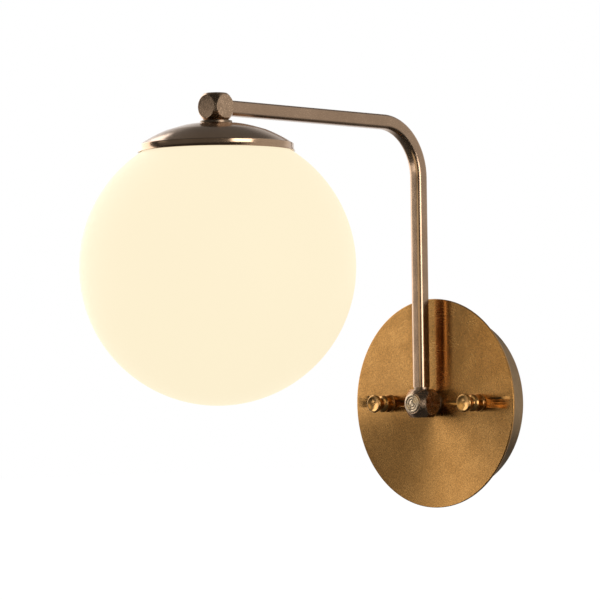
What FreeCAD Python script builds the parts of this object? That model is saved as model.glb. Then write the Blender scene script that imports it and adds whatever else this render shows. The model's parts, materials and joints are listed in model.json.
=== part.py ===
import FreeCAD, Part
import math
import os

# Globe wall sconce, in millimetres.
# The wall is the plane y = 0 and the light stands out of it along -Y, with +Z up.
# The origin is where the axis of the round backplate meets the wall.
# A depth is a distance out of the wall, so a point at depth 20 has y = -20.

V = FreeCAD.Vector
OUT = V(0, -1, 0)
IN = V(0, 1, 0)
UP = V(0, 0, 1)
DOWN = V(0, 0, -1)
LEFT = V(-1, 0, 0)
RIGHT = V(1, 0, 0)

# Sizes shared by several pieces
small_slot_width = 0.6
screw_slot_width = 0.9

# Clearances
thread_clearance = 0.05
hole_clearance = 0.15
glass_clearance = 0.3
socket_clearance = 0.1

# Backplate: a thin round disc on a narrower drum that closes against the wall
disc_diameter = 122.0
disc_thickness = 1.5
disc_edge_round = 0.4
band_diameter = 102.0
band_wall = 1.2
backplate_depth = 21.0

# Wall bracket: a steel cross with a round middle
bracket_thickness = 2.0
bar_width = 18.0
bar_corner = 3.0
stud_bar_length = 88.0
box_bar_length = 86.0
middle_diameter = 38.0
supply_hole_diameter = 20.0
box_slot_spacing = 66.0
box_slot_length = 12.0
box_slot_width = 4.6

# Studs and thumb nuts that hold the backplate
stud_spacing = 70.0
stud_diameter = 4.0
stud_length = 33.0
stud_tip = 0.5
stud_nut_across = 7.0
stud_nut_height = 3.2
thumb_washer_diameter = 10.8
thumb_washer_thickness = 0.8
thumb_nut_length = 13.2
thumb_barrel_diameter = 10.2
thumb_barrel_length = 6.0
thumb_neck_diameter = 6.4
thumb_neck_length = 1.6
thumb_flange_diameter = 10.4
thumb_rim_thickness = 1.8
thumb_dish_depth = 1.2
thumb_bore_depth = 11.4

# Hollow threaded nipples, with their nuts and toothed washers
nipple_diameter = 10.0
nipple_bore = 7.4
nipple_nut_across = 14.0
nipple_nut_height = 3.0
lock_washer_diameter = 15.0
lock_washer_thickness = 0.8
lock_washer_teeth = 12
nipple_tail = 1.8

# Lower knuckle, the block that turns the arm upwards
lower_knuckle_side = 16.4
lower_knuckle_ball = 21.4
knuckle_washer_diameter = 15.0
knuckle_washer_thickness = 1.8
nose_chamfer_depth = 2.6
nose_face_diameter = 12.0
plug_diameter = 10.8
plug_stem_diameter = 7.0
plug_stem_length = 3.0
plug_stand = 0.7

# Arm: one rounded square tube with a single right-angle bend
arm_side = 8.4
arm_corner = 2.6
arm_wall = 0.9
arm_bend_radius = 31.0
arm_height = 162.5
arm_reach = 195.0
spigot_diameter = 8.0
spigot_bore = 5.2
spigot_shoulder_diameter = 8.8
spigot_shoulder = 1.2
spigot_plug_length = 8.0

# Ways inside the knuckles
wire_way_diameter = 6.0
knuckle_core = 3.0
bore_wall = 0.3
wire_turn_radius = 4.0

# Upper knuckle, the block that turns the light downwards
upper_knuckle_side = 15.0
upper_knuckle_ball = 19.6
cap_washer_diameter = 17.6
cap_washer_thickness = 1.5

# Globe: a blown opal glass ball with a round hole in its top
globe_diameter = 150.0
globe_wall = 2.5
globe_mouth_diameter = 64.0
globe_rim_round = 0.9

# Cap: a spun brass dome with a short flared lip that fits the glass, and a felt ring inside it
cap_wall = 1.0
cap_flat_diameter = 30.0
cap_rim_diameter = 84.0
cap_depth = 15.5
cap_lip_height = 4.0
gasket_margin = 1.6
gasket_width = 3.0

# Spring clip that grips the mouth of the globe from inside
clip_thickness = 0.8
clip_arms = 4
clip_arm_width = 7.0
clip_clearance = 1.0
clip_grip_length = 5.0
clip_tip_length = 5.0
clip_tip_set = 2.8

# Lampholder for a two-pin capsule lamp, hung on a steel strap
strap_thickness = 1.2
strap_width = 8.0
strap_middle_diameter = 16.0
holder_width = 20.0
holder_breadth = 17.0
holder_height = 18.0
holder_round = 2.0
holder_gap = 8.6
holder_screw_diameter = 3.0
holder_screw_head = 5.0
holder_screw_head_height = 1.7
holder_screw_length = 5.0
pin_pitch = 9.0
contact_width = 4.0
contact_wall = 0.6
contact_length = 10.0

# Capsule lamp
pin_diameter = 1.2
pin_length = 7.0
pin_seat = 3.5
lamp_seat_gap = 0.4
lamp_base_width = 15.0
lamp_base_breadth = 9.0
lamp_base_height = 13.0
lamp_base_round = 2.0
lamp_flange_height = 4.4
capsule_diameter = 16.0
capsule_length = 37.5
capsule_wall = 1.0
capsule_cup_depth = 1.5
board_width = 11.0
board_thickness = 1.0
board_length = 26.0
chip_rows = 5
chip_side = 2.8
chip_spacing = 4.6
chip_height = 0.5

# Wires
wire_diameter = 2.2
wire_gap = 0.1
wire_depth = 7.0
wire_entry = 3.0
loose_turn_radius = 3.6

# Terminal block on the bracket
block_offset = 21.0
block_length = 14.0
block_width = 20.0
block_height = 10.0
block_round = 1.2
pole_spacing = 10.0
barrel_diameter = 4.8
barrel_bore = 2.5
barrel_length = 12.0
clamp_screw_diameter = 2.4
clamp_screw_length = 3.4
clamp_screw_spacing = 6.4
block_screw_diameter = 3.0
block_screw_head = 5.4
block_screw_head_height = 1.6

# Earth connection
earth_offset = 22.0
earth_screw_diameter = 4.0
earth_screw_head = 8.0
earth_screw_head_height = 2.4
lug_diameter = 16.0
lug_thickness = 0.8
lug_barrel_diameter = 4.0
lug_barrel_length = 6.0
earth_loop = 7.0
earth_turn_radius = 3.0

# Places that follow from the sizes above
stud_places = (-stud_spacing / 2, stud_spacing / 2)
plate_back = backplate_depth - disc_thickness
nipple_radius = nipple_diameter / 2
lower_half = lower_knuckle_side / 2
upper_half = upper_knuckle_side / 2
knuckle_depth = backplate_depth + knuckle_washer_thickness + lower_half
pole_places = (-pole_spacing / 2, pole_spacing / 2)
clamp_places = (-block_offset - clamp_screw_spacing / 2, -block_offset + clamp_screw_spacing / 2)
lower_centre = V(0, -knuckle_depth, 0)
upper_centre = V(0, -arm_reach, arm_height)
globe_radius = globe_diameter / 2
mouth_radius = globe_mouth_diameter / 2
cap_top = arm_height - upper_half - cap_washer_thickness
cap_flat_radius = cap_flat_diameter / 2
cap_rim_radius = cap_rim_diameter / 2
lip_bottom = cap_top - cap_depth
lip_top = lip_bottom + cap_lip_height
glass_seat_radius = cap_rim_radius - cap_wall / 4
glass_seat_rise = math.sqrt(globe_radius**2 - glass_seat_radius**2)
globe_centre = V(0, -arm_reach, lip_bottom - glass_clearance - glass_seat_rise)
gasket_inner_radius = mouth_radius + globe_rim_round + gasket_margin
gasket_outer_radius = gasket_inner_radius + gasket_width
clip_top = cap_top - cap_wall
clip_bottom = clip_top - clip_thickness
strap_top = clip_bottom - lock_washer_thickness
strap_bottom = strap_top - strap_thickness
upper_nipple_end = strap_bottom - nipple_nut_height - nipple_tail
holder_top = upper_nipple_end - holder_gap
holder_bottom = holder_top - holder_height
holder_middle = (holder_top + holder_bottom) / 2
lamp_top = holder_bottom - lamp_seat_gap
capsule_top = lamp_top - lamp_base_height
lug_depth = plate_back - lock_washer_thickness - lug_thickness
lug_wire_depth = lug_depth + lug_thickness - lug_barrel_diameter / 2
lower_nut_depth = lug_depth - nipple_nut_height
lower_nipple_end = lower_nut_depth - nipple_tail
wire_offset = (wire_diameter + wire_gap) / 2
nipple_core = spigot_diameter / 2 + bore_wall
clip_hub_radius = lock_washer_diameter / 2


def at(x, depth, z):
    """A point given by its depth out of the wall."""
    return V(x, -depth, z)


def on_globe_axis(z):
    return V(0, -arm_reach, z)


def rod(diameter, length, start, axis):
    return Part.makeCylinder(diameter / 2, length, start, axis)


def pipe(outer, inner, length, start, axis):
    return rod(outer, length, start, axis).cut(rod(inner, length, start, axis))


def block(width, breadth, height, centre):
    """A box with its sides along X, Y and Z about a centre."""
    corner = centre - V(width / 2, breadth / 2, height / 2)
    return Part.makeBox(width, breadth, height, corner)


def sideways(axis):
    """A direction square to an axis that lies along X, Y or Z."""
    return UP if abs(axis.x) > 0.5 else RIGHT


def turned(profile, start, axis):
    """A solid turned about an axis from a closed outline of (radius, distance) places.

    A step with two places is an arc: its middle, then its end.
    """
    out = sideways(axis)

    def place(radius, distance):
        return start + out * radius + axis * distance

    edges = []
    here = place(*profile[0])
    for step in list(profile[1:]) + [profile[0]]:
        if isinstance(step[0], tuple):
            middle = place(*step[0])
            there = place(*step[1])
            edges.append(Part.Arc(here, middle, there).toShape())
        else:
            there = place(*step)
            edges.append(Part.LineSegment(here, there).toShape())
        here = there
    return Part.Face(Part.Wire(edges)).revolve(start, axis, 360)


def ball_drop(radius, across):
    """How far a ball's surface lies from its centre's plane at a distance from the axis."""
    return math.sqrt(radius**2 - across**2)


def dome(radius, foot, rise):
    """The last step of a turned outline: a domed end, or a dished one where the rise is negative."""
    ball = (radius**2 + rise**2) / (2 * abs(rise))
    bulge = ball_drop(ball, radius / 2) - ball_drop(ball, radius)
    return ((radius / 2, foot + math.copysign(bulge, rise)), (0, foot + rise))


def hex_nut(across, height, bore, start, axis):
    """A hexagon nut with its corners chamfered on both faces."""
    out = sideways(axis)
    across_corners = across / math.cos(math.radians(30))
    side = axis.cross(out)
    corners = []
    for number in range(7):
        angle = math.radians(60 * number)
        reach = out * math.cos(angle) + side * math.sin(angle)
        corners.append(start + reach * (across_corners / 2))
    prism = Part.Face(Part.makePolygon(corners)).extrude(axis * height)
    flat = across / 2
    point = across_corners / 2
    bevel = (point - flat) * 0.6
    envelope = turned(
        [(0, 0), (flat, 0), (point, bevel), (point, height - bevel), (flat, height), (0, height)],
        start,
        axis,
    )
    return prism.common(envelope).cut(rod(bore, height, start, axis))


def toothed_washer(start, axis):
    """A lock washer with notches round its rim, to fit a nipple."""
    bore = nipple_diameter + 2 * hole_clearance
    washer = pipe(lock_washer_diameter, bore, lock_washer_thickness, start, axis)
    pitch = math.pi * lock_washer_diameter / lock_washer_teeth
    depth = (lock_washer_diameter - bore) / 4
    out = sideways(axis)
    for tooth in range(lock_washer_teeth):
        notch = rod(pitch / 2, lock_washer_thickness, start, axis)
        notch.translate(out * (lock_washer_diameter / 2 - depth + pitch / 4))
        notch.rotate(start, axis, 360 * tooth / lock_washer_teeth)
        washer = washer.cut(notch)
    return washer


def rounded_path(points, radii):
    """Straight runs joined by tangent arcs, with one radius for each inner point."""
    edges = []
    start = points[0]
    for before, corner, after, radius in zip(points, points[1:], points[2:], radii):
        back = (before - corner).normalize()
        onward = (after - corner).normalize()
        half_turn = (math.pi - back.getAngle(onward)) / 2
        reach = radius * math.tan(half_turn)
        inward = (back + onward).normalize()
        centre = corner + inward * (radius / math.cos(half_turn))
        first = corner + back * reach
        last = corner + onward * reach
        edges.append(Part.LineSegment(start, first).toShape())
        edges.append(Part.Arc(first, centre - inward * radius, last).toShape())
        start = last
    edges.append(Part.LineSegment(start, points[-1]).toShape())
    return Part.Wire(edges)


def wire_along(points, radii):
    """A round insulated wire along a path."""
    path = rounded_path(points, radii)
    heading = (points[1] - points[0]).normalize()
    section = Part.Wire(Part.makeCircle(wire_diameter / 2, points[0], heading))
    return path.makePipeShell([section], True, False)


def bent_strip(points, thickness, width, across):
    """A flat strip bent along points in a plane square to the direction across."""
    solids = []
    half = across * (width / 2)
    for start, end in zip(points, points[1:]):
        along = (end - start).normalize()
        up = across.cross(along) * (thickness / 2)
        corners = [start + up, end + up, end - up, start - up, start + up]
        face = Part.Face(Part.makePolygon([corner - half for corner in corners]))
        solids.append(face.extrude(half * 2))
    for bend in points[1:-1]:
        solids.append(rod(thickness, width, bend - half, across))
    return solids[0].fuse(solids[1:]).removeSplitter()


def slot(length, width, height, centre, along, axis):
    """A round-ended slot cutter, from its centre along an axis."""
    half = along * ((length - width) / 2)
    side = along.cross(axis) * (width / 2)
    corners = [centre + half + side, centre + half - side, centre - half - side, centre - half + side]
    middle = Part.Face(Part.makePolygon(corners + corners[:1])).extrude(axis * height)
    ends = [rod(width, height, centre + end, axis) for end in (half, -half)]
    return middle.fuse(ends)


# Backplate and what fastens it to the wall


def wall_bracket():
    """Steel cross that the wall box's screws hold: studs on the level bar, slots on the upright one."""
    centre = at(0, bracket_thickness / 2, 0)
    level = block(stud_bar_length, bracket_thickness, bar_width, centre)
    upright = block(bar_width, bracket_thickness, box_bar_length, centre)
    bars = [bar.makeFillet(bar_corner, edges_along(bar, OUT)) for bar in (level, upright)]
    wall = V(0, 0, 0)
    plate = bars[0].fuse([bars[1], rod(middle_diameter, bracket_thickness, wall, OUT)])
    plate = plate.removeSplitter()
    plate = plate.cut(rod(supply_hole_diameter, bracket_thickness, wall, OUT))
    for z in (-box_slot_spacing / 2, box_slot_spacing / 2):
        plate = plate.cut(slot(box_slot_length, box_slot_width, bracket_thickness, V(0, 0, z), UP, OUT))
    for x in stud_places:
        plate = plate.cut(rod(stud_diameter + 2 * thread_clearance, bracket_thickness, V(x, 0, 0), OUT))
    for diameter, x in ((earth_screw_diameter, earth_offset), (block_screw_diameter, -block_offset)):
        plate = plate.cut(rod(diameter + 2 * thread_clearance, bracket_thickness, V(x, 0, 0), OUT))
    return plate


def edges_along(shape, direction):
    """The straight edges of a shape that run along a direction."""
    found = []
    for edge in shape.Edges:
        ends = [vertex.Point for vertex in edge.Vertexes]
        if len(ends) == 2 and (ends[1] - ends[0]).normalize().cross(direction).Length < 1e-6:
            found.append(edge)
    return found


def mounting_studs():
    radius = stud_diameter / 2
    shank = stud_length - stud_tip
    profile = [(0, 0), (radius, 0), (radius, shank), (radius - stud_tip, stud_length), (0, stud_length)]
    return Part.makeCompound([turned(profile, V(x, 0, 0), OUT) for x in stud_places])


def stud_lock_nuts():
    bore = stud_diameter + 2 * thread_clearance
    places = [at(x, bracket_thickness, 0) for x in stud_places]
    nuts = [hex_nut(stud_nut_across, stud_nut_height, bore, place, OUT) for place in places]
    return Part.makeCompound(nuts)


def backplate_disc():
    """Brushed front disc with holes for the nipple and the two studs."""
    radius = disc_diameter / 2
    round_ = disc_edge_round
    front = disc_thickness - round_
    bend = round_ * (1 - math.sqrt(0.5))
    profile = [
        (0, 0),
        (radius, 0),
        (radius, front),
        ((radius - bend, disc_thickness - bend), (radius - round_, disc_thickness)),
        (0, disc_thickness),
    ]
    disc = turned(profile, at(0, plate_back, 0), OUT)
    disc = disc.cut(rod(nipple_diameter + 2 * hole_clearance, disc_thickness, at(0, plate_back, 0), OUT))
    for x in stud_places:
        disc = disc.cut(rod(stud_diameter + 4 * hole_clearance, disc_thickness, at(x, plate_back, 0), OUT))
    return disc


def backplate_band():
    """Drum that closes the gap between the disc and the wall, brazed to the disc."""
    return pipe(band_diameter, band_diameter - 2 * band_wall, plate_back, V(0, 0, 0), OUT)


def thumb_washer(x):
    bore = stud_diameter + 2 * hole_clearance
    start = at(x, backplate_depth, 0)
    return pipe(thumb_washer_diameter, bore, thumb_washer_thickness, start, OUT)


def thumb_nut(x):
    """Turned nut: a waisted barrel, a neck, and a flared head with a dished face."""
    barrel = thumb_barrel_diameter / 2
    neck = thumb_neck_diameter / 2
    flange = thumb_flange_diameter / 2
    end = thumb_nut_length
    bead = barrel * 0.12
    waist = barrel * 0.94
    neck_start = thumb_barrel_length + bead
    neck_end = neck_start + thumb_neck_length
    rim_start = end - thumb_rim_thickness
    rim = thumb_rim_thickness / 2
    dish = flange - rim
    profile = [
        (0, 0),
        (barrel - bead / 2, 0),
        ((barrel, bead / 2), (barrel - bead / 2, bead)),
        ((waist, thumb_barrel_length * 0.55), (barrel - bead, thumb_barrel_length - bead)),
        ((barrel - bead / 3, thumb_barrel_length), (barrel - bead * 1.2, neck_start)),
        (neck, neck_start),
        (neck, neck_end),
        (flange, rim_start),
        ((flange - rim * 0.3, rim_start + rim * 1.6), (dish, end)),
        ((dish * 0.55, end - thumb_dish_depth * 0.75), (bead, end - thumb_dish_depth)),
        dome(bead, end - thumb_dish_depth, -bead / 2),
    ]
    start = at(x, backplate_depth + thumb_washer_thickness, 0)
    nut = turned(profile, start, OUT)
    return nut.cut(rod(stud_diameter + 2 * thread_clearance, thumb_bore_depth, start, OUT))


# Lower knuckle and its fixing


def lower_nipple():
    length = knuckle_depth - nipple_core - lower_nipple_end
    return pipe(nipple_diameter, nipple_bore, length, at(0, lower_nipple_end, 0), OUT)


def lower_lock_washer():
    return toothed_washer(at(0, plate_back, 0), IN)


def lower_nipple_nut():
    bore = nipple_diameter + 2 * thread_clearance
    return hex_nut(nipple_nut_across, nipple_nut_height, bore, at(0, lower_nut_depth, 0), OUT)


def knuckle_washer():
    bore = nipple_diameter + 2 * hole_clearance
    start = at(0, backplate_depth, 0)
    return pipe(knuckle_washer_diameter, bore, knuckle_washer_thickness, start, OUT)


def knuckle_body(side, ball, centre):
    """A cube whose edges and corners are turned off by a ball, so each face is a circle."""
    cube = block(side, side, side, centre)
    return cube.common(Part.makeSphere(ball / 2, centre))


def lower_knuckle():
    """Block with a chamfered round nose, bored for the nipple behind, the arm above and a plug in front."""
    half = lower_half
    slope = nose_chamfer_depth / (half - nose_face_diameter / 2)
    corner = lower_knuckle_ball
    chamfer_start = half - nose_chamfer_depth
    cutter = turned(
        [
            (0, -half),
            (corner, -half),
            (corner, chamfer_start - (corner - half) * slope),
            (half, chamfer_start),
            (nose_face_diameter / 2, half),
            (0, half),
        ],
        lower_centre,
        OUT,
    )
    body = knuckle_body(lower_knuckle_side, lower_knuckle_ball, lower_centre).common(cutter)
    back = lower_centre + IN * half
    front = lower_centre + OUT * half
    top = lower_centre + UP * half
    bores = [
        rod(nipple_diameter + 2 * thread_clearance, half - nipple_core, back, OUT),
        rod(spigot_diameter + 2 * thread_clearance, half - knuckle_core, top, DOWN),
        rod(plug_stem_diameter + 2 * thread_clearance, plug_stem_length, front, IN),
        rod(wire_way_diameter, half, back, OUT),
        rod(wire_way_diameter, half, top, DOWN),
        Part.makeSphere(wire_way_diameter / 2, lower_centre),
    ]
    return body.cut(bores)


def knuckle_plug():
    """Turned plug in the nose, with two raised rings round a small button."""
    radius = plug_diameter / 2
    stand = plug_stand
    stem = plug_stem_diameter / 2
    profile = [
        (0, -plug_stem_length),
        (stem, -plug_stem_length),
        (stem, 0),
        (radius, 0),
        (radius, stand * 0.6),
        ((radius * 0.97, stand * 0.9), (radius * 0.9, stand)),
        (radius * 0.78, stand),
        ((radius * 0.70, stand * 0.45), (radius * 0.62, stand * 0.85)),
        (radius * 0.50, stand * 0.85),
        ((radius * 0.42, stand * 0.35), (radius * 0.34, stand * 0.75)),
        dome(radius * 0.34, stand * 0.75, stand * 0.25),
    ]
    return turned(profile, lower_centre + OUT * lower_half, OUT)


# Arm


def square_wire(side, corner, centre):
    """A rounded square in a level plane."""
    half = side / 2
    flat = half - corner
    diagonal = flat + corner * math.sqrt(0.5)
    edges = []
    for quarter in range(4):
        turn = FreeCAD.Rotation(UP, 90 * quarter)
        start, end = [centre + turn.multVec(V(half, y, 0)) for y in (-flat, flat)]
        middle = centre + turn.multVec(V(diagonal, diagonal, 0))
        close = centre + turn.multVec(V(flat, half, 0))
        edges.append(Part.LineSegment(start, end).toShape())
        edges.append(Part.Arc(end, middle, close).toShape())
    return Part.Wire(edges)


def arm_solid(side, corner):
    """A solid bar of rounded square section along the whole route of the arm."""
    start = lower_centre + UP * (lower_half + spigot_shoulder)
    end = upper_centre + IN * (upper_half + spigot_shoulder)
    bend_start = V(0, lower_centre.y, arm_height - arm_bend_radius)
    bend_centre = bend_start + OUT * arm_bend_radius
    bend_end = bend_centre + UP * arm_bend_radius
    foot = Part.Face(square_wire(side, corner, start))
    upright = foot.extrude(bend_start - start)
    corner_face = Part.Face(square_wire(side, corner, bend_start))
    bend = corner_face.revolve(bend_centre, RIGHT, 90)
    end_face = corner_face.copy()
    end_face.rotate(bend_centre, RIGHT, 90)
    level = end_face.extrude(end - bend_end)
    return upright.fuse([bend, level]).removeSplitter()


def arm_tube():
    bore = arm_side - 2 * arm_wall
    return arm_solid(arm_side, arm_corner).cut(arm_solid(bore, arm_corner - arm_wall))


def arm_spigot(centre, half, axis):
    """Bored plug brazed into an end of the arm: a square stem, a round collar and a round tenon."""
    tenon_length = half - knuckle_core
    collar = centre + axis * half
    stem = collar + axis * spigot_shoulder
    fit = arm_side - 2 * arm_wall - 2 * thread_clearance
    square = Part.Face(square_wire(fit, arm_corner - arm_wall, V(0, 0, 0)))
    plug = square.extrude(UP * spigot_plug_length)
    plug.Placement = FreeCAD.Placement(stem, FreeCAD.Rotation(UP, axis))
    solid = rod(spigot_diameter, tenon_length + spigot_shoulder, collar - axis * tenon_length, axis)
    solid = solid.fuse([rod(spigot_shoulder_diameter, spigot_shoulder, collar, axis), plug])
    whole = tenon_length + spigot_shoulder + spigot_plug_length
    return solid.removeSplitter().cut(rod(spigot_bore, whole, collar - axis * tenon_length, axis))


def upper_knuckle():
    """Block bored for the arm behind and the nipple below."""
    body = knuckle_body(upper_knuckle_side, upper_knuckle_ball, upper_centre)
    back = upper_centre + IN * upper_half
    foot = upper_centre + DOWN * upper_half
    bores = [
        rod(spigot_diameter + 2 * thread_clearance, upper_half - knuckle_core, back, OUT),
        rod(nipple_diameter + 2 * thread_clearance, upper_half - nipple_core, foot, UP),
        rod(wire_way_diameter, upper_half, back, OUT),
        rod(wire_way_diameter, upper_half, foot, UP),
        Part.makeSphere(wire_way_diameter / 2, upper_centre),
    ]
    return body.cut(bores)


# Cap, and the stack of pieces on the nipple through it


def cap_washer():
    bore = nipple_diameter + 2 * hole_clearance
    return pipe(cap_washer_diameter, bore, cap_washer_thickness, on_globe_axis(cap_top), UP)


def upper_nipple():
    length = arm_height - nipple_core - upper_nipple_end
    return pipe(nipple_diameter, nipple_bore, length, on_globe_axis(upper_nipple_end), UP)


def cap_dome():
    """Height of the centre of the cap's dome, which lies between its flat and its rim, and its radius."""
    rise = cap_top - lip_top
    centre = (cap_top + lip_top - (cap_rim_radius**2 - cap_flat_radius**2) / rise) / 2
    radius = math.hypot(cap_flat_radius, cap_top - centre)
    return centre, radius


def dome_height(across, inset):
    """Height of the dome's surface at a distance from the axis, inset from its outside."""
    centre, radius = cap_dome()
    return centre + ball_drop(radius - inset, across)


def globe_cap():
    """Spun dome with a flat middle and a lip that flares out to the curve of the glass."""
    centre, radius = cap_dome()
    rim = cap_rim_radius
    flat = cap_flat_radius
    bore = nipple_radius + hole_clearance
    flare = rim + cap_wall * 0.75
    inner_rim = rim - cap_wall
    inner_flat = math.sqrt((radius - cap_wall) ** 2 - (clip_top - centre) ** 2)
    halfway = (flat + rim) / 2
    curl = cap_wall * 0.1
    lip_middle = (lip_top + lip_bottom) / 2
    profile = [
        (bore, cap_top),
        (flat, cap_top),
        ((halfway, dome_height(halfway, 0)), (rim, lip_top)),
        ((rim + curl, lip_middle), (flare, lip_bottom)),
        (flare - cap_wall, lip_bottom),
        ((inner_rim + curl, lip_middle), (inner_rim, dome_height(inner_rim, cap_wall))),
        ((halfway, dome_height(halfway, cap_wall)), (inner_flat, clip_top)),
        (bore, clip_top),
    ]
    return turned(profile, on_globe_axis(0), UP)


def globe_gasket():
    """Felt ring glued inside the cap, which the glass comes up against."""
    inner = gasket_inner_radius
    outer = gasket_outer_radius
    middle = (inner + outer) / 2
    glass = globe_radius + glass_clearance
    profile = [
        (inner, dome_height(inner, cap_wall)),
        ((middle, dome_height(middle, cap_wall)), (outer, dome_height(outer, cap_wall))),
        (outer, globe_centre.z + ball_drop(glass, outer)),
        (
            (middle, globe_centre.z + ball_drop(glass, middle)),
            (inner, globe_centre.z + ball_drop(glass, inner)),
        ),
    ]
    return turned(profile, on_globe_axis(0), UP)


def globe():
    """Blown ball with a round mouth, its rim melted smooth."""
    inside = globe_radius - globe_wall
    lip = mouth_radius + globe_rim_round
    outer_rim = ball_drop(globe_radius, lip)
    inner_rim = ball_drop(inside, lip)
    profile = [
        (0, -globe_radius),
        ((globe_radius, 0), (lip, outer_rim)),
        ((mouth_radius, (outer_rim + inner_rim) / 2), (lip, inner_rim)),
        ((inside, 0), (0, -inside)),
    ]
    return turned(profile, globe_centre, UP)


def globe_clip():
    """Spring steel star whose fingers bend down through the mouth and press outwards."""
    middle = clip_top - clip_thickness / 2
    grip = mouth_radius - glass_clearance - clip_thickness / 2
    grip_top = globe_centre.z + ball_drop(globe_radius, mouth_radius)
    grip_end = grip_top - clip_grip_length
    profile = [
        (clip_hub_radius / 2, middle),
        (clip_hub_radius, middle),
        (grip - clip_thickness, dome_height(grip, cap_wall) - clip_clearance - clip_thickness),
        (grip, grip_top),
        (grip, grip_end),
        (grip - clip_tip_set, grip_end - clip_tip_length),
    ]
    hub = rod(2 * clip_hub_radius, clip_thickness, on_globe_axis(clip_bottom), UP)
    arms = []
    for number in range(clip_arms):
        points = [V(radius, -arm_reach, z) for radius, z in profile]
        arm = bent_strip(points, clip_thickness, clip_arm_width, IN)
        arm.rotate(on_globe_axis(0), UP, 360 * (number + 0.5) / clip_arms)
        arms.append(arm)
    bore = nipple_diameter + 2 * hole_clearance
    star = hub.fuse(arms).removeSplitter()
    return star.cut(rod(bore, clip_thickness, on_globe_axis(clip_bottom), UP))


def upper_nipple_nut():
    bore = nipple_diameter + 2 * thread_clearance
    return hex_nut(nipple_nut_across, nipple_nut_height, bore, on_globe_axis(strap_bottom), DOWN)


# Lampholder


def holder_strap():
    """Steel strap with a round middle under the clip, and two legs that carry the lampholder."""
    middle = strap_top - strap_thickness / 2
    leg = holder_width / 2 + strap_thickness / 2
    foot = holder_middle - holder_screw_head / 2
    places = [(-leg, foot), (-leg, middle), (leg, middle), (leg, foot)]
    points = [V(x, -arm_reach, z) for x, z in places]
    ring = rod(strap_middle_diameter, strap_thickness, on_globe_axis(strap_bottom), UP)
    strap = bent_strip(points, strap_thickness, strap_width, IN).fuse(ring).removeSplitter()
    bore = nipple_diameter + 2 * hole_clearance
    strap = strap.cut(rod(bore, strap_thickness, on_globe_axis(strap_bottom), UP))
    hole = holder_screw_diameter + 2 * hole_clearance
    across = on_globe_axis(holder_middle) + LEFT * (leg + strap_thickness)
    return strap.cut(rod(hole, 2 * (leg + strap_thickness), across, RIGHT))


def holder_screws():
    """Two round-headed screws that hold the lampholder between the strap's legs."""
    screws = []
    height = holder_screw_head_height
    radius = holder_screw_head / 2
    for side in (LEFT, RIGHT):
        start = on_globe_axis(holder_middle) + side * (holder_width / 2 + strap_thickness)
        shank = rod(holder_screw_diameter, holder_screw_length + strap_thickness, start, side * -1)
        head = turned([(0, 0), (radius, 0), dome(radius, 0, height)], start, side)
        groove = block(height, small_slot_width, holder_screw_head, start + side * height)
        screws.append(head.fuse(shank).removeSplitter().cut(groove))
    return Part.makeCompound(screws)


def contact_place(side):
    """Middle of one contact pocket, at the mouth of the lampholder."""
    return V(0, -arm_reach - side * pin_pitch / 2, holder_bottom)


def lampholder_body():
    """Glazed block with two pockets for the contacts and two ways for the wires."""
    body = block(holder_width, holder_breadth, holder_height, on_globe_axis(holder_middle))
    body = body.makeFillet(holder_round, edges_along(body, UP))
    tapped = holder_screw_diameter + 2 * thread_clearance
    cuts = []
    for side in (LEFT, RIGHT):
        start = on_globe_axis(holder_middle) + side * (holder_width / 2)
        cuts.append(rod(tapped, holder_screw_length + socket_clearance, start, side * -1))
    pocket = contact_width + 2 * socket_clearance
    depth = contact_length + socket_clearance
    for side in (-1, 1):
        cuts.append(block(pocket, pocket, depth, contact_place(side) + UP * (depth / 2)))
        cuts.append(rod(wire_diameter + 2 * socket_clearance, holder_height, contact_place(side), UP))
    return body.cut(cuts)


def lampholder_contacts():
    """Two folded brass sockets that grip the lamp's pins."""
    contacts = []
    for side in (-1, 1):
        centre = contact_place(side) + UP * (contact_length / 2)
        outer = block(contact_width, contact_width, contact_length, centre)
        bore = pin_diameter + 2 * socket_clearance
        hollow = block(contact_width - 2 * contact_wall, bore, contact_length, centre)
        contacts.append(outer.cut(hollow))
    return Part.makeCompound(contacts)


# Lamp


def bulb_base():
    """Flat base with a round flange that the capsule is set on, and a cup for the board."""
    centre = on_globe_axis(lamp_top - lamp_base_height / 2)
    base = block(lamp_base_breadth, lamp_base_width, lamp_base_height, centre)
    base = base.makeFillet(lamp_base_round, edges_along(base, UP))
    flange = rod(capsule_diameter, lamp_flange_height, on_globe_axis(capsule_top), UP)
    base = base.fuse(flange).removeSplitter()
    cup = rod(capsule_diameter - 2 * capsule_wall, capsule_cup_depth, on_globe_axis(capsule_top), UP)
    pins = [rod(pin_diameter, pin_seat, pin_start(side), UP) for side in (-1, 1)]
    return base.cut([cup] + pins)


def pin_start(side):
    """Lower end of one pin, inside the lamp's base."""
    return contact_place(side) + DOWN * (lamp_seat_gap + pin_seat)


def bulb_pins():
    radius = pin_diameter / 2
    straight = pin_seat + pin_length - radius
    profile = [(0, 0), (radius, 0), (radius, straight), dome(radius, straight, radius)]
    return Part.makeCompound([turned(profile, pin_start(side), UP) for side in (-1, 1)])


def capsule_profile(radius, top, bottom):
    """A straight-sided outline with a round end, down to a given height."""
    return [(0, top), (radius, top), (radius, bottom + radius), dome(radius, bottom + radius, -radius)]


def bulb_capsule():
    """Frosted tube, open where it is set on the base."""
    bottom = capsule_top - capsule_length
    radius = capsule_diameter / 2
    outside = capsule_profile(radius, capsule_top, bottom)
    inside = capsule_profile(radius - capsule_wall, capsule_top, bottom + capsule_wall)
    return turned(outside, on_globe_axis(0), UP).cut(turned(inside, on_globe_axis(0), UP))


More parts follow.
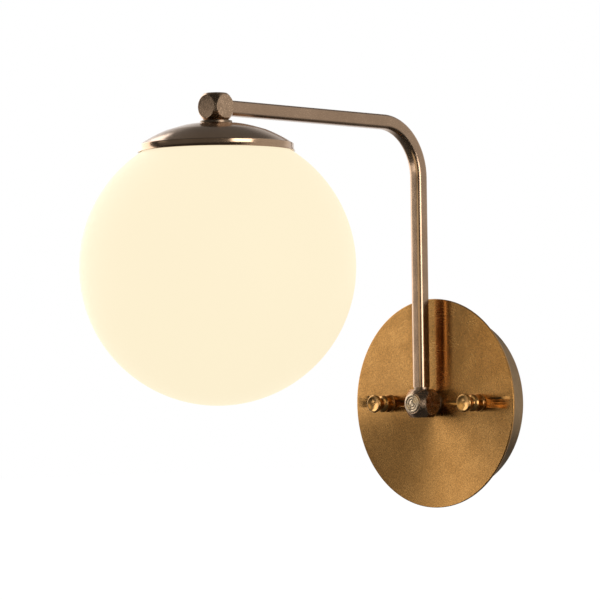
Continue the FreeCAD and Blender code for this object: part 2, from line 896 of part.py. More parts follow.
def bulb_board():
    """Light-emitting board that stands in the capsule, set in the base's cup."""
    top = capsule_top + capsule_cup_depth
    board = block(board_width, board_thickness, board_length, on_globe_axis(top - board_length / 2))
    chips = []
    for row in range(chip_rows):
        place = on_globe_axis(capsule_top - chip_spacing * (row + 0.5))
        chips.append(block(chip_side, board_thickness + 2 * chip_height, chip_side, place))
    return board.fuse(chips).removeSplitter()


# Wires and terminals


def lamp_wire(side):
    """One core, from its terminal through the nipple, the arm and the second nipple to its contact.

    Where the core runs nearer the wall in the upright, it is the outer one round both other bends.
    """
    inner = wire_offset * side
    pole = side * pole_places[1]
    block_end = -block_offset + block_length / 2
    port = contact_place(side)
    points = [
        at(block_end - wire_entry, wire_depth, pole),
        at(block_end + wire_diameter, wire_depth, pole),
        at(0, wire_depth, inner),
        at(0, knuckle_depth - inner, inner),
        at(0, knuckle_depth - inner, arm_height + inner),
        at(0, arm_reach + inner, arm_height + inner),
        V(0, -arm_reach - inner, holder_top + holder_gap * 0.75),
        V(0, port.y, holder_top + holder_gap * 0.25),
        V(0, port.y, holder_bottom + contact_length + socket_clearance),
    ]
    radii = [
        loose_turn_radius,
        loose_turn_radius,
        wire_turn_radius - inner,
        arm_bend_radius + inner,
        wire_turn_radius + inner,
        loose_turn_radius,
        loose_turn_radius,
    ]
    return wire_along(points, radii)


def terminal_block():
    """Moulded block screwed to the bracket, with two poles."""
    depth = bracket_thickness + block_height / 2
    body = block(block_length, block_height, block_width, at(-block_offset, depth, 0))
    body = body.makeFillet(block_round, edges_along(body, OUT))
    front = bracket_thickness + block_height
    start = -block_offset - block_length / 2
    sink = block_screw_head_height + socket_clearance
    cuts = [
        rod(block_screw_diameter + 2 * hole_clearance, block_height, at(-block_offset, front, 0), IN),
        rod(block_screw_head + 2 * hole_clearance, sink, at(-block_offset, front, 0), IN),
    ]
    way = barrel_diameter + 2 * thread_clearance
    hole = clamp_screw_diameter + 2 * hole_clearance
    for z in pole_places:
        cuts.append(rod(way, block_length, at(start, wire_depth, z), RIGHT))
        for x in clamp_places:
            cuts.append(rod(hole, front - wire_depth, at(x, front, z), IN))
    return body.cut(cuts)


def terminal_barrels():
    """Brass barrels that join the supply to the lamp wires."""
    barrels = []
    tapped = clamp_screw_diameter + 2 * thread_clearance
    for z in pole_places:
        start = at(-block_offset - barrel_length / 2, wire_depth, z)
        barrel = pipe(barrel_diameter, barrel_bore, barrel_length, start, RIGHT)
        for x in clamp_places:
            barrel = barrel.cut(rod(tapped, barrel_diameter, at(x, wire_depth, z), OUT))
        barrels.append(barrel)
    return Part.makeCompound(barrels)


def terminal_screws():
    screws = []
    for z in pole_places:
        for x in clamp_places:
            tip = wire_depth + barrel_bore / 2
            screw = rod(clamp_screw_diameter, clamp_screw_length, at(x, tip, z), OUT)
            head = at(x, tip + clamp_screw_length, z)
            screws.append(screw.cut(block(clamp_screw_diameter, small_slot_width, small_slot_width, head)))
    return Part.makeCompound(screws)


def block_screw():
    front = bracket_thickness + block_height
    seat = front - block_screw_head_height - socket_clearance
    shank = rod(block_screw_diameter, seat, at(-block_offset, 0, 0), OUT)
    head = rod(block_screw_head, block_screw_head_height, at(-block_offset, seat, 0), OUT)
    groove = block(block_screw_head, block_screw_head_height, screw_slot_width, at(-block_offset, front, 0))
    return shank.fuse(head).removeSplitter().cut(groove)


def earth_screw():
    """Screw in the bracket whose head clamps the earth wire."""
    seat = bracket_thickness + wire_diameter
    shank = rod(earth_screw_diameter, seat, V(earth_offset, 0, 0), OUT)
    radius = earth_screw_head / 2
    height = earth_screw_head_height
    outline = [(0, 0), (radius, 0), (radius, height * 0.4), dome(radius, height * 0.4, height * 0.6)]
    head = turned(outline, at(earth_offset, seat, 0), OUT)
    groove = block(earth_screw_head, height, screw_slot_width, at(earth_offset, seat + height, 0))
    return shank.fuse(head).removeSplitter().cut(groove)


def earth_lug():
    """Ring clamped by the nipple's nut, with a crimped barrel for the wire."""
    start = at(0, lug_depth, 0)
    bore = nipple_diameter + 2 * hole_clearance
    ring = pipe(lug_diameter, bore, lug_thickness, start, OUT)
    root = at(lug_diameter / 2, lug_depth + lug_thickness / 2, 0)
    tongue = block(lug_barrel_length, lug_thickness, lug_barrel_diameter * 0.8, root)
    tongue = tongue.cut(rod(bore, lug_thickness, start, OUT))
    mouth = at(lug_diameter / 2, lug_wire_depth, 0)
    barrel = rod(lug_barrel_diameter, lug_barrel_length, mouth, RIGHT)
    lug = ring.fuse([tongue, barrel]).removeSplitter()
    return lug.cut(rod(wire_diameter + 2 * thread_clearance, lug_barrel_length, mouth, RIGHT))


def earth_wire():
    """Short wire from the lug on the nipple to the screw in the bracket."""
    screw_wire = bracket_thickness + wire_diameter / 2
    turn = earth_offset + earth_loop
    points = [
        at((lug_diameter + lug_barrel_length) / 2, lug_wire_depth, 0),
        at(turn, lug_wire_depth, 0),
        at(turn, screw_wire, 0),
        at(earth_offset + earth_screw_diameter / 2 + thread_clearance, screw_wire, 0),
    ]
    return wire_along(points, [earth_turn_radius, earth_turn_radius])


def sub_parts():
    """Every piece of the sconce, by the name that it is known by."""
    lower_spigot = arm_spigot(lower_centre, lower_half, UP)
    upper_spigot = arm_spigot(upper_centre, upper_half, IN)
    return {
        "wall_bracket": wall_bracket(),
        "mounting_studs": mounting_studs(),
        "stud_lock_nuts": stud_lock_nuts(),
        "backplate_disc": backplate_disc(),
        "backplate_band": backplate_band(),
        "thumb_washer_left": thumb_washer(stud_places[0]),
        "thumb_washer_right": thumb_washer(stud_places[1]),
        "thumb_nut_left": thumb_nut(stud_places[0]),
        "thumb_nut_right": thumb_nut(stud_places[1]),
        "lower_nipple": lower_nipple(),
        "lower_lock_washer": lower_lock_washer(),
        "lower_nipple_nut": lower_nipple_nut(),
        "knuckle_washer": knuckle_washer(),
        "lower_knuckle": lower_knuckle(),
        "knuckle_plug": knuckle_plug(),
        "arm_spigot_lower": lower_spigot,
        "arm_tube": arm_tube(),
        "arm_spigot_upper": upper_spigot,
        "upper_knuckle": upper_knuckle(),
        "cap_washer": cap_washer(),
        "upper_nipple": upper_nipple(),
        "globe_cap": globe_cap(),
        "globe_gasket": globe_gasket(),
        "globe_clip": globe_clip(),
        "holder_strap": holder_strap(),
        "upper_lock_washer": toothed_washer(on_globe_axis(clip_bottom), DOWN),
        "upper_nipple_nut": upper_nipple_nut(),
        "holder_screws": holder_screws(),
        "lampholder_body": lampholder_body(),
        "lampholder_contacts": lampholder_contacts(),
        "bulb_base": bulb_base(),
        "bulb_pins": bulb_pins(),
        "bulb_capsule": bulb_capsule(),
        "bulb_board": bulb_board(),
        "globe": globe(),
        "lamp_wire_live": lamp_wire(1),
        "lamp_wire_neutral": lamp_wire(-1),
        "terminal_block": terminal_block(),
        "terminal_barrels": terminal_barrels(),
        "terminal_screws": terminal_screws(),
        "block_screw": block_screw(),
        "earth_screw": earth_screw(),
        "earth_lug": earth_lug(),
        "earth_wire": earth_wire(),
    }


os.makedirs("parts", exist_ok=True)
for name, shape in sub_parts().items():
    shape.exportStep(f"parts/{name}.step")
    print(name, len(shape.Solids), "solids,", round(shape.Volume / 1000, 2), "cm3", shape.isValid())
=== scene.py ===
# %% [markdown]
# # A globe wall light, dressed for its portrait
#
# The light is a round brass backplate, a square brass arm with one bend, two dark brass knuckles,
# and an opal glass ball that hangs under a polished cap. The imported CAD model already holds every
# piece at its true size and place. This lesson keeps those places, gives the pieces that show a
# finer mesh, and gives every piece a finish. Lengths are in metres, as everywhere in Blender, and
# `MM` turns millimetres into them.

import json
from functools import partial
from math import acos, atan2, copysign, cos, dist, hypot, pi, radians, sin, sqrt

import bmesh
import bpy
from mathutils import Matrix, Vector

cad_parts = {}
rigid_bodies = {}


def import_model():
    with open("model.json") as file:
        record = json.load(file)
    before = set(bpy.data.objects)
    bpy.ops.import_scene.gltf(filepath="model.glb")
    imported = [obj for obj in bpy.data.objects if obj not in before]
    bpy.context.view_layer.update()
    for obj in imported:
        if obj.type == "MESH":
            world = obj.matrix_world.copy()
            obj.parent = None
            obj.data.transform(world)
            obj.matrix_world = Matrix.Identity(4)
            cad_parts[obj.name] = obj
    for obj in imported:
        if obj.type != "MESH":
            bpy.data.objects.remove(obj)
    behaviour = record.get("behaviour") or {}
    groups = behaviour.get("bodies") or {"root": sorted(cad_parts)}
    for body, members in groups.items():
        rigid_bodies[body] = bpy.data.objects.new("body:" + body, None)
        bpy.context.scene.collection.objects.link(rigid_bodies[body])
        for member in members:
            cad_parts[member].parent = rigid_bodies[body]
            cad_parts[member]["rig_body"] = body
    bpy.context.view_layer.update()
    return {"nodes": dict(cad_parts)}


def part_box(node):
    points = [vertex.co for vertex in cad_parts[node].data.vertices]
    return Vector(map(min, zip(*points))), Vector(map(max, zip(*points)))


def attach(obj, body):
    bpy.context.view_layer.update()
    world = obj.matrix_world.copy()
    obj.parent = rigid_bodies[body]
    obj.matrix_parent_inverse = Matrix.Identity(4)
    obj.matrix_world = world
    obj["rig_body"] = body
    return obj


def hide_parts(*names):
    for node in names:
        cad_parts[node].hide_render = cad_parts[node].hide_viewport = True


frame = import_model()
scene = bpy.context.scene
MM = 0.001

# %% [markdown]
# ## Where things are
#
# The wall is the plane y = 0 and the room is on the side of -Y. Two lines matter most: the
# backplate's axis, which is the Y axis itself, and the upright line through the globe. Reading
# them off the CAD boxes keeps every new piece on the frame, so nothing has to be fitted by eye.

# %% Read the main places off the frame
OUT = Vector((0, -1, 0))
UP = Vector((0, 0, 1))
SIDE = Vector((1, 0, 0))


def middle(node):
    low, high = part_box(node)
    return (low + high) / 2


knuckle_low = middle("lower_knuckle")
knuckle_high = middle("upper_knuckle")
drop_line = Vector((0, knuckle_high.y, 0))


def back_of(node, x=0.0):
    """Where a line through the plate, at x, meets the back of a piece."""
    return Vector((x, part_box(node)[1].y, 0))


def foot_of(node):
    """Where the upright line through the globe meets the foot of a piece."""
    return drop_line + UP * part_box(node)[0].z


nut_places = {"left": middle("thumb_nut_left").x, "right": middle("thumb_nut_right").x}
arm_rise = (knuckle_high.z - knuckle_low.z) / MM
print("arm rises", round(arm_rise, 1), "mm and reaches", round(-drop_line.y / MM, 1), "mm")

# %% [markdown]
# ## A few tools for shader nodes
#
# A material is a tree of nodes, and each node is made, set and linked. `wire` does all three, so
# that the materials below read like recipes. An input that is given a node or a socket is linked,
# and one that is given a number or a colour is set.

# %% Node helpers
def fill(tree, node, inputs):
    """Sets a node's inputs by name or number, and links those that are given a node or a socket."""
    for key, value in inputs.items():
        if isinstance(value, bpy.types.Node):
            value = value.outputs[0]
        if isinstance(value, bpy.types.NodeSocket):
            tree.links.new(value, node.inputs[key])
        else:
            node.inputs[key].default_value = value
    return node


def wire(tree, kind, inputs=None, **settings):
    """Adds a node, sets its properties, and fills its inputs."""
    node = tree.nodes.new(kind)
    for key, value in settings.items():
        setattr(node, key, value)
    return fill(tree, node, inputs or {})


def maths(tree, operation, first, second=0.0, clamp=False):
    """A sum, product or other function of one or two numbers."""
    values = {0: first, 1: second}
    return wire(tree, "ShaderNodeMath", values, operation=operation, use_clamp=clamp).outputs[0]


def vector_maths(tree, operation, first, second=None):
    """The same for vectors. SCALE takes a plain number second, and DOT_PRODUCT gives one."""
    inputs = {0: first}
    if second is not None:
        inputs["Scale" if operation == "SCALE" else 1] = second
    outputs = wire(tree, "ShaderNodeVectorMath", inputs, operation=operation).outputs
    return outputs["Value" if operation == "DOT_PRODUCT" else "Vector"]


def blend(tree, amount, first, second):
    """Mixes two colours; amount 0 gives the first."""
    colours = [c if isinstance(c, bpy.types.NodeSocket) else (*c, 1) for c in (first, second)]
    inputs = {0: amount, 6: colours[0], 7: colours[1]}
    return wire(tree, "ShaderNodeMix", inputs, data_type="RGBA", clamp_factor=True).outputs[2]


def remap(tree, value, low, high, new_low, new_high):
    inputs = {"Value": value, "From Min": low, "From Max": high, "To Min": new_low, "To Max": new_high}
    return wire(tree, "ShaderNodeMapRange", inputs).outputs[0]


def place_mm(tree):
    """The piece's own coordinates in millimetres, so that a pattern's scale is a size on the object."""
    coords = wire(tree, "ShaderNodeTexCoord").outputs["Object"]
    return vector_maths(tree, "SCALE", coords, 1 / MM)


def stretched(tree, place, stretch):
    return vector_maths(tree, "MULTIPLY", place, stretch)


def noise(tree, place, size, detail=3.0, roughness=0.5):
    """A cloudy pattern from 0 to 1 with blobs of about the given size."""
    inputs = {"Vector": place, "Scale": 1 / size, "Detail": detail, "Roughness": roughness}
    return wire(tree, "ShaderNodeTexNoise", inputs).outputs["Fac"]


def new_material(name):
    """A material, its node tree and the shader that it starts with."""
    material = bpy.data.materials.new(name)
    material.use_nodes = True
    return material, material.node_tree, material.node_tree.nodes["Principled BSDF"]


print("node helpers ready")

# %% [markdown]
# ## Metal that has been brushed, burnished or polished
#
# Real brass is never one flat colour. A wheel or a belt leaves fine parallel scratches, lacquer
# and fingers leave soft patches, and corners are rubbed bright. One recipe can make all of the
# light's metals if it takes those three things as its arguments. `grain` says which way the
# scratches run, because a scratch pattern is only a cloud pattern that has been pulled out along
# one direction.

# %% The metal recipe
def around_axis(tree, place, axis):
    """Coordinates round an axis: distance from it, turn about it, and distance along it."""
    x, y, z = wire(tree, "ShaderNodeSeparateXYZ", {0: place}).outputs
    across, other, along = {"Y": (x, z, y), "Z": (x, y, z)}[axis]
    squares = [maths(tree, "MULTIPLY", value, value) for value in (across, other)]
    radius = maths(tree, "SQRT", maths(tree, "ADD", *squares))
    turn = maths(tree, "ARCTAN2", other, across)
    return wire(tree, "ShaderNodeCombineXYZ", {0: radius, 1: turn, 2: along}).outputs[0]


def worn_edge(tree, width):
    """1 on corners and 0 on flats: only near a corner does a rounded-over normal differ."""
    soft = wire(tree, "ShaderNodeBevel", {"Radius": width * MM}, samples=6).outputs[0]
    true = wire(tree, "ShaderNodeNewGeometry").outputs["Normal"]
    flat_match, corner_match = 0.995, 0.90
    match = vector_maths(tree, "DOT_PRODUCT", soft, true)
    return remap(tree, match, flat_match, corner_match, 0.0, 1.0)


SPECK_SIZE = 0.8


def metal(name, bright, dark, roughness, grain=None, grain_size=0.3, scratch=0.08, speck=0.04,
          patch=4.0, edge=0.2, edge_colour=None, anisotropy=0.0, axis=None, bump=0.0015):
    """A metal in patches of two tones, with scratches, specks and corners rubbed bright."""
    material, tree, shader = new_material(name)
    place = place_mm(tree)
    lines = noise(tree, grain(tree, place) if grain else place, grain_size, detail=4.0, roughness=0.65)
    clouds = noise(tree, place, patch, detail=5.0, roughness=0.6)
    tone = maths(tree, "ADD", remap(tree, clouds, 0.3, 0.7, 0.0, 1.0),
                 maths(tree, "MULTIPLY", lines, scratch * 3))
    colour = blend(tree, maths(tree, "MULTIPLY", tone, 0.8, clamp=True), dark, bright)
    streaks = remap(tree, lines, 0.25, 0.75, 1 - scratch, 1 + scratch)
    specks = remap(tree, noise(tree, place, SPECK_SIZE), 0.3, 0.7, 1 - speck, 1 + speck)
    colour = vector_maths(tree, "SCALE", colour, maths(tree, "MULTIPLY", streaks, specks))
    if edge:
        rubbed = maths(tree, "MULTIPLY", worn_edge(tree, edge), 0.8)
        bare = edge_colour or tuple(min(1, 1.25 * c + 0.04) for c in bright)
        colour = blend(tree, rubbed, colour, bare)
    rough = maths(tree, "ADD", remap(tree, lines, 0.2, 0.8, roughness - 0.05, roughness + 0.07),
                  remap(tree, clouds, 0.3, 0.7, -0.03, 0.03), clamp=True)
    relief = wire(tree, "ShaderNodeBump", {"Strength": 1.0, "Distance": bump * MM, "Height": lines})
    fill(tree, shader, {"Base Color": colour, "Roughness": rough, "Normal": relief, "Metallic": 1.0})
    if anisotropy:
        tangent = wire(tree, "ShaderNodeTangent", direction_type="RADIAL", axis=axis)
        quarter_turn = 0.25
        fill(tree, shader, {"Anisotropic": anisotropy, "Anisotropic Rotation": quarter_turn,
                            "Tangent": tangent})
    return material


print("metal recipe ready")

# %% [markdown]
# ## The light's brasses
#
# The backplate was held against a turning pad, so its scratches run in circles round the middle
# and its reflections fan out from there. A shader does this with anisotropy: the reflection is
# blurred across the scratches and stays sharp along them. The drum behind it was brushed round
# its girth. The arm was brushed along its length, the knuckles were tumbled until they were dark
# and speckled, and the nuts and the cap were polished on a lathe.

# %% Brass finishes
def circles(tree, place):
    """Scratches in circles round the backplate's axis, broken up along their length."""
    return stretched(tree, around_axis(tree, place, "Y"), (1.0, 2.2, 0.2))


def hoops(tree, place):
    """Scratches round a drum: fine across its width, long round its girth."""
    return stretched(tree, around_axis(tree, place, "Y"), (0.3, 3.0, 1.0))


def rings_on_drop_line(tree, place):
    """Scratches in circles round the upright line through the globe."""
    from_line = vector_maths(tree, "SUBTRACT", place, drop_line / MM)
    return stretched(tree, around_axis(tree, from_line, "Z"), (1.0, 1.5, 1.0))


brushed_plate = metal(
    "brushed antique brass", (0.50, 0.258, 0.079), (0.37, 0.178, 0.049), 0.23, circles, scratch=0.10,
    speck=0.24, patch=16.0, edge=0.25, anisotropy=0.82, axis="Y")
brushed_drum = metal("brushed brass drum", (0.33, 0.22, 0.12), (0.25, 0.165, 0.09), 0.32, hoops, 0.25,
                     scratch=0.14, speck=0.08, patch=18.0, edge=0.0)
tumbled = metal(
    "tumbled dark brass", (0.53, 0.355, 0.228), (0.34, 0.222, 0.137), 0.25, grain_size=0.6,
    scratch=0.20, speck=0.15, patch=3.0, edge=0.28, edge_colour=(0.62, 0.47, 0.31), bump=0.004)
polished_nut = metal("polished brass", (0.66, 0.37, 0.13), (0.54, 0.28, 0.09), 0.28, scratch=0.05,
                     patch=5.0)
spun_cap = metal(
    "polished aged brass", (0.52, 0.35, 0.225), (0.42, 0.27, 0.165), 0.15, rings_on_drop_line, 0.4,
    scratch=0.05, patch=20.0, edge=0.0, bump=0.0006)
# Painted shade: the washers and arm spigots sit in the joints, so their brass is painted far darker
# than the rest to stand for the shade that falls there.
shade_painted_washer_brass = metal("washer brass painted dark for shade", (0.24, 0.17, 0.11), (0.16, 0.11, 0.075), 0.3,
                     scratch=0.15)
turned_brass = metal("turned brass", (0.60, 0.46, 0.31), (0.48, 0.36, 0.235), 0.24, circles,
                     scratch=0.12)
plain_brass = metal("plain brass", (0.72, 0.52, 0.24), (0.58, 0.41, 0.18), 0.28)
print("brass finishes:", len(bpy.data.materials))

# %% [markdown]
# ## The arm's brass
#
# The arm bends, so no straight direction follows its scratches. It is made further on by sweeping
# a section along a path. The sweep notes for every point how far it is along the path and how far
# round the section, and a pattern on those two numbers follows the bend.

# %% Brass with a grain that follows the tube
def along_tube(tree, place):
    """Long scratches on the two numbers that the sweep notes, turned into millimetres."""
    grain = wire(tree, "ShaderNodeAttribute", attribute_name="grain").outputs["Vector"]
    return stretched(tree, grain, (1.0 / MM, 0.03 / MM, 1.0))


burnished_tube = metal(
    "burnished dark brass", (0.45, 0.30, 0.195), (0.35, 0.23, 0.145), 0.22, along_tube, scratch=0.16,
    patch=16.0, edge=0.0, bump=0.002)
print("made", burnished_tube.name)

# %% [markdown]
# ## Steel, glass, ceramic and the rest
#
# What hides behind the plate and inside the ball is seen when the glass is pulled down or the
# light is turned round. Zinc-plated steel has a spangled, cool grey skin. Opal glass glows by
# itself, because the lamp inside lights it evenly, so most of its brightness is emission and only
# a little comes from the studio. Felt is rough and has a soft sheen, and the plastics and rubbers
# only need a faint mottle and a fine grain.

# %% Steel and the non-metals
zinc = metal("zinc-plated steel", (0.60, 0.61, 0.62), (0.48, 0.49, 0.51), 0.34, grain_size=0.8,
             scratch=0.10, patch=3.0, edge=0.25)
spring_steel = metal("spring steel", (0.55, 0.55, 0.54), (0.45, 0.45, 0.45), 0.26, grain_size=0.5,
                     scratch=0.10, patch=6.0)
nickel = metal("nickel plating", (0.70, 0.68, 0.64), (0.60, 0.58, 0.55), 0.2, scratch=0.05, patch=2.0,
               edge=0.0)


def matter(name, colour, shade, roughness, patch=3.0, fine=0.2, bump=0.01, glow=0.0, glow_colour=None,
           sheen=0.0, coat=0.0, specular=0.5, clear=0.0):
    """A material that isn't metal: two close tones in soft patches, with a fine grain in its relief."""
    material, tree, shader = new_material(name)
    place = place_mm(tree)
    clouds = noise(tree, place, patch)
    specks = noise(tree, place, fine, detail=2.0)
    mixed = blend(tree, remap(tree, clouds, 0.3, 0.7, 0.0, 1.0), shade, colour)
    rough = remap(tree, specks, 0.3, 0.7, roughness - 0.05, roughness + 0.05)
    relief = wire(tree, "ShaderNodeBump", {"Strength": 1.0, "Distance": bump * MM, "Height": specks})
    fill(tree, shader, {
        "Base Color": mixed, "Roughness": rough, "Normal": relief, "Sheen Weight": sheen,
        "Coat Weight": coat, "Specular IOR Level": specular, "Transmission Weight": clear})
    if glow:
        fill(tree, shader, {"Emission Color": (*(glow_colour or colour), 1), "Emission Strength": glow})
    return material


glazed = matter("glazed ceramic", (0.86, 0.84, 0.79), (0.80, 0.78, 0.73), 0.22, patch=6.0, bump=0.004,
                coat=0.6)
bisque = matter("matt ceramic", (0.88, 0.86, 0.81), (0.80, 0.78, 0.74), 0.6, patch=2.0)
felt = matter("wool felt", (0.62, 0.59, 0.52), (0.50, 0.47, 0.41), 0.95, patch=0.8, fine=0.25,
              bump=0.15, sheen=0.5)
moulded = matter("moulded plastic", (0.84, 0.84, 0.81), (0.80, 0.80, 0.77), 0.45)
phosphor = matter("lamp phosphor", (0.95, 0.74, 0.22), (0.90, 0.66, 0.16), 0.5, patch=1.0, glow=0.25)
live_rubber = matter("brown silicone", (0.16, 0.065, 0.03), (0.12, 0.05, 0.025), 0.42)
neutral_rubber = matter("blue silicone", (0.03, 0.08, 0.30), (0.025, 0.06, 0.24), 0.42)
earth_rubber = matter("green silicone", (0.05, 0.24, 0.05), (0.04, 0.19, 0.04), 0.42)
opal = matter("opal glass", (0.105, 0.094, 0.068), (0.10, 0.089, 0.065), 0.5, patch=40.0, fine=3.0,
              bump=0.002, glow=0.95, glow_colour=(0.973, 0.863, 0.624), specular=0.05)
frosted = matter("frosted glass", (0.80, 0.76, 0.66), (0.74, 0.70, 0.60), 0.45, patch=5.0, bump=0.004,
                 glow=0.2, glow_colour=(1.0, 0.80, 0.45), clear=0.3)
print("finishes so far:", len(bpy.data.materials))

# %% [markdown]
# ## Turned pieces
#
# Nearly everything on this light was turned on a lathe or spun on one: the plate, drum, nuts,
# plug, washers, cap and even the blown ball are all an outline carried round an axis. So one
# helper makes them all. It takes the outline as radius and distance in millimetres. A third
# number rounds that corner over, because a real corner is never razor sharp, and it is the
# rounding that catches the light. An extra ring on each side of a rounding keeps the shading of
# the flat next to it flat.

# %% The lathe
def spread(start, end, steps):
    """Evenly spaced numbers from the first to the second."""
    return [start + (end - start) * step / steps for step in range(steps + 1)]


def rounded(start, corner, end, steps):
    """Points on a curve that cuts a corner."""
    return [start * (1 - s) ** 2 + corner * 2 * s * (1 - s) + end * s**2 for s in spread(0, 1, steps)]


def arc_points(radius, start, end, steps):
    """Points on a circle round the middle of the outline, from one angle to another."""
    return [(radius * cos(angle), radius * sin(angle)) for angle in spread(start, end, steps)]


def flat_ring(bore, rim, low, high, bore_soft, low_soft, high_soft):
    """The outline of a flat ring. The last three numbers say how far its corners are rounded."""
    return [(bore, low, bore_soft), (rim, low, low_soft), (rim, high, high_soft),
            (bore, high, bore_soft)]


def soften(outline, steps=4):
    """Rounds the corners of an outline that have a third number, and closes it up as plain points."""
    points = []
    count = len(outline)
    for number, corner in enumerate(outline):
        here = Vector(corner[:2])
        size = corner[2] if len(corner) > 2 else 0
        if not size:
            points.append(here)
            continue
        before = Vector(outline[number - 1][:2]) - here
        after = Vector(outline[(number + 1) % count][:2]) - here
        start, end = here + before.normalized() * size, here + after.normalized() * size
        points.append(start + before.normalized() * size * 0.3)
        points += rounded(start, here, end, steps)
        points.append(end + after.normalized() * size * 0.3)
    return points


def bow(start, end, rise, steps):
    """Points on a circular arc between two places of an outline, without its ends."""
    a, b = Vector(start[:2]), Vector(end[:2])
    half = (b - a).length / 2
    radius = (half**2 + rise**2) / (2 * abs(rise))
    across = Vector((-(b - a).y, (b - a).x)).normalized() * copysign(1, rise)
    centre = (a + b) / 2 - across * (radius - abs(rise))
    first, last = a - centre, b - centre
    angle = atan2(first.x * last.y - first.y * last.x, first.dot(last))
    return [tuple(centre + Matrix.Rotation(a, 2) @ first) for a in spread(0, angle, steps)[1:-1]]


def finish_mesh(name, bm, sharp=32.0):
    """Turns a bmesh into an object with outward faces, shaded smooth but sharp at real corners."""
    bmesh.ops.remove_doubles(bm, verts=bm.verts, dist=1e-7)
    bmesh.ops.dissolve_degenerate(bm, edges=bm.edges, dist=1e-8)
    bmesh.ops.recalc_face_normals(bm, faces=bm.faces)
    for face in bm.faces:
        face.smooth = True
    for edge in bm.edges:
        edge.smooth = edge.calc_face_angle(0) < radians(sharp)
    mesh = bpy.data.meshes.new(name)
    bm.to_mesh(mesh)
    bm.free()
    piece = bpy.data.objects.new(name, mesh)
    scene.collection.objects.link(piece)
    return piece


def lathe(name, outline, start=Vector(), axis=OUT, around=96, sharp=32.0, closed=False):
    """A turned piece. The outline runs from axis to axis, or all the way round if closed."""
    bm = bmesh.new()
    second = axis.cross(SIDE)
    rings = []
    for radius, distance in soften(outline):
        if radius < 1e-6:
            rings.append([bm.verts.new(start + axis * distance * MM)])
            continue
        ring = []
        for number in range(around):
            turn = 2 * pi * number / around
            reach = SIDE * cos(turn) + second * sin(turn)
            ring.append(bm.verts.new(start + (reach * radius + axis * distance) * MM))
        rings.append(ring)
    pairs = list(zip(rings, rings[1:])) + ([(rings[-1], rings[0])] if closed else [])
    for lower, upper in pairs:
        for number in range(around):
            after = (number + 1) % around
            corners = [lower[number % len(lower)], lower[after % len(lower)],
                       upper[after % len(upper)], upper[number % len(upper)]]
            corners = list(dict.fromkeys(corners))
            if len(corners) > 2:
                bm.faces.new(corners)
    return finish_mesh(name, bm, sharp)


covered = set()


def dress(piece, material, node):
    """Gives a piece its finish, and puts it in place of a CAD node and on that node's body."""
    piece.data.materials.clear()
    piece.data.materials.append(material)
    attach(piece, frame["nodes"][node]["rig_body"])
    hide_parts(node)
    covered.add(node)
    print(piece.name, "is made of", material.name, "in", len(piece.data.polygons), "faces")


def turned(node, material, outline, start, axis=OUT, around=96, closed=False):
    """A lathe piece with its finish, in place of a CAD node and named like it."""
    piece = lathe(node.replace("_", "-"), outline, start, axis, around, closed=closed)
    dress(piece, material, node)


print("the lathe is ready")

# %% [markdown]
# ## The backplate
#
# The backplate is a disc on a narrower drum. Both could stay as the CAD made them, but a finer
# rim gives the thin bright line that shows where the disc ends. The disc gets real holes for the
# studs, cut with a Boolean modifier, because the holes show when a nut is undone. The modifier is
# turned into plain mesh at once, so that nothing is left to go wrong later.

# %% Disc and drum
def plain_mesh(piece):
    """Bakes a piece's modifiers into its mesh."""
    graph = bpy.context.evaluated_depsgraph_get()
    mesh = bpy.data.meshes.new_from_object(piece.evaluated_get(graph))
    piece.modifiers.clear()
    old = piece.data
    piece.data = mesh
    bpy.data.meshes.remove(old)
    mesh.name = piece.name
    return piece


def cut(piece, cutter):
    boolean = piece.modifiers.new("cut", "BOOLEAN")
    boolean.operation = "DIFFERENCE"
    boolean.solver = "EXACT"
    boolean.object = cutter
    plain_mesh(piece)
    bpy.data.objects.remove(cutter)


disc_low, disc_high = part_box("backplate_disc")
disc_back, disc_front = -disc_high.y / MM, -disc_low.y / MM
disc_radius = disc_high.z / MM
nipple_hole, stud_hole = 5.15, 2.3
disc_outline = flat_ring(nipple_hole, disc_radius, disc_back, disc_front, 0.1, 0.3, 0.4)
disc = lathe("backplate-disc", disc_outline, around=192, closed=True)
behind, ahead = disc_back - 1, disc_front + 1
drill = [(0, behind), (stud_hole, behind), (stud_hole, ahead), (0, ahead)]
for x in nut_places.values():
    cut(disc, lathe("drill", drill, start=Vector((x, 0, 0)), around=32))
dress(disc, brushed_plate, "backplate_disc")

drum_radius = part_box("backplate_band")[1].z / MM
drum_inside = drum_radius - 1.2
drum_outline = [(drum_inside, 0, 0.15), (drum_radius, 0, 0.35), (drum_radius, disc_back, 0.1),
                (drum_inside, disc_back, 0.1)]
drum = lathe("backplate-drum", drum_outline, around=192, closed=True)
dress(drum, brushed_drum, "backplate_band")

# %% [markdown]
# ## Knuckles
#
# A knuckle starts as a cube. Turning it in a lathe against a ball-shaped tool takes off its edges
# and corners, so that each face is left as a circle with a slim rounded web between the circles.
# A Boolean of a cube and a sphere would give the shape, but with ragged triangles along every
# circle. Here each half-turn of the outline is worked out instead: for a given direction round
# the axis the outline meets the front, then perhaps a flat side, then the ball, then the back.
# The directions are chosen so that the circles on the sides come out evenly spaced.

# %% The knuckle shape
def knuckle_turns(half, ball, steps=10):
    """Directions round the axis that put evenly spaced points on the circles of the four side faces."""
    circle = sqrt(ball**2 - half**2)
    eighth = [atan2(circle * sin(angle), half) for angle in spread(0, pi / 2, steps)]
    eighth += spread(eighth[-1], pi / 4, 3)[1:]
    quarter = eighth + [pi / 2 - turn for turn in reversed(eighth[1:-1])]
    return [turn + pi / 2 * number for number in range(4) for turn in quarter]


def corner_round(before, corner, after, size=0.22, steps=3):
    """A small rounding between two neighbours of an outline's corner."""
    here = Vector(corner)

    def towards(point):
        way = Vector(point) - here
        return here + way.normalized() * min(size, way.length * 0.45) if way.length > 1e-6 else here

    return rounded(towards(before), here, towards(after), steps)


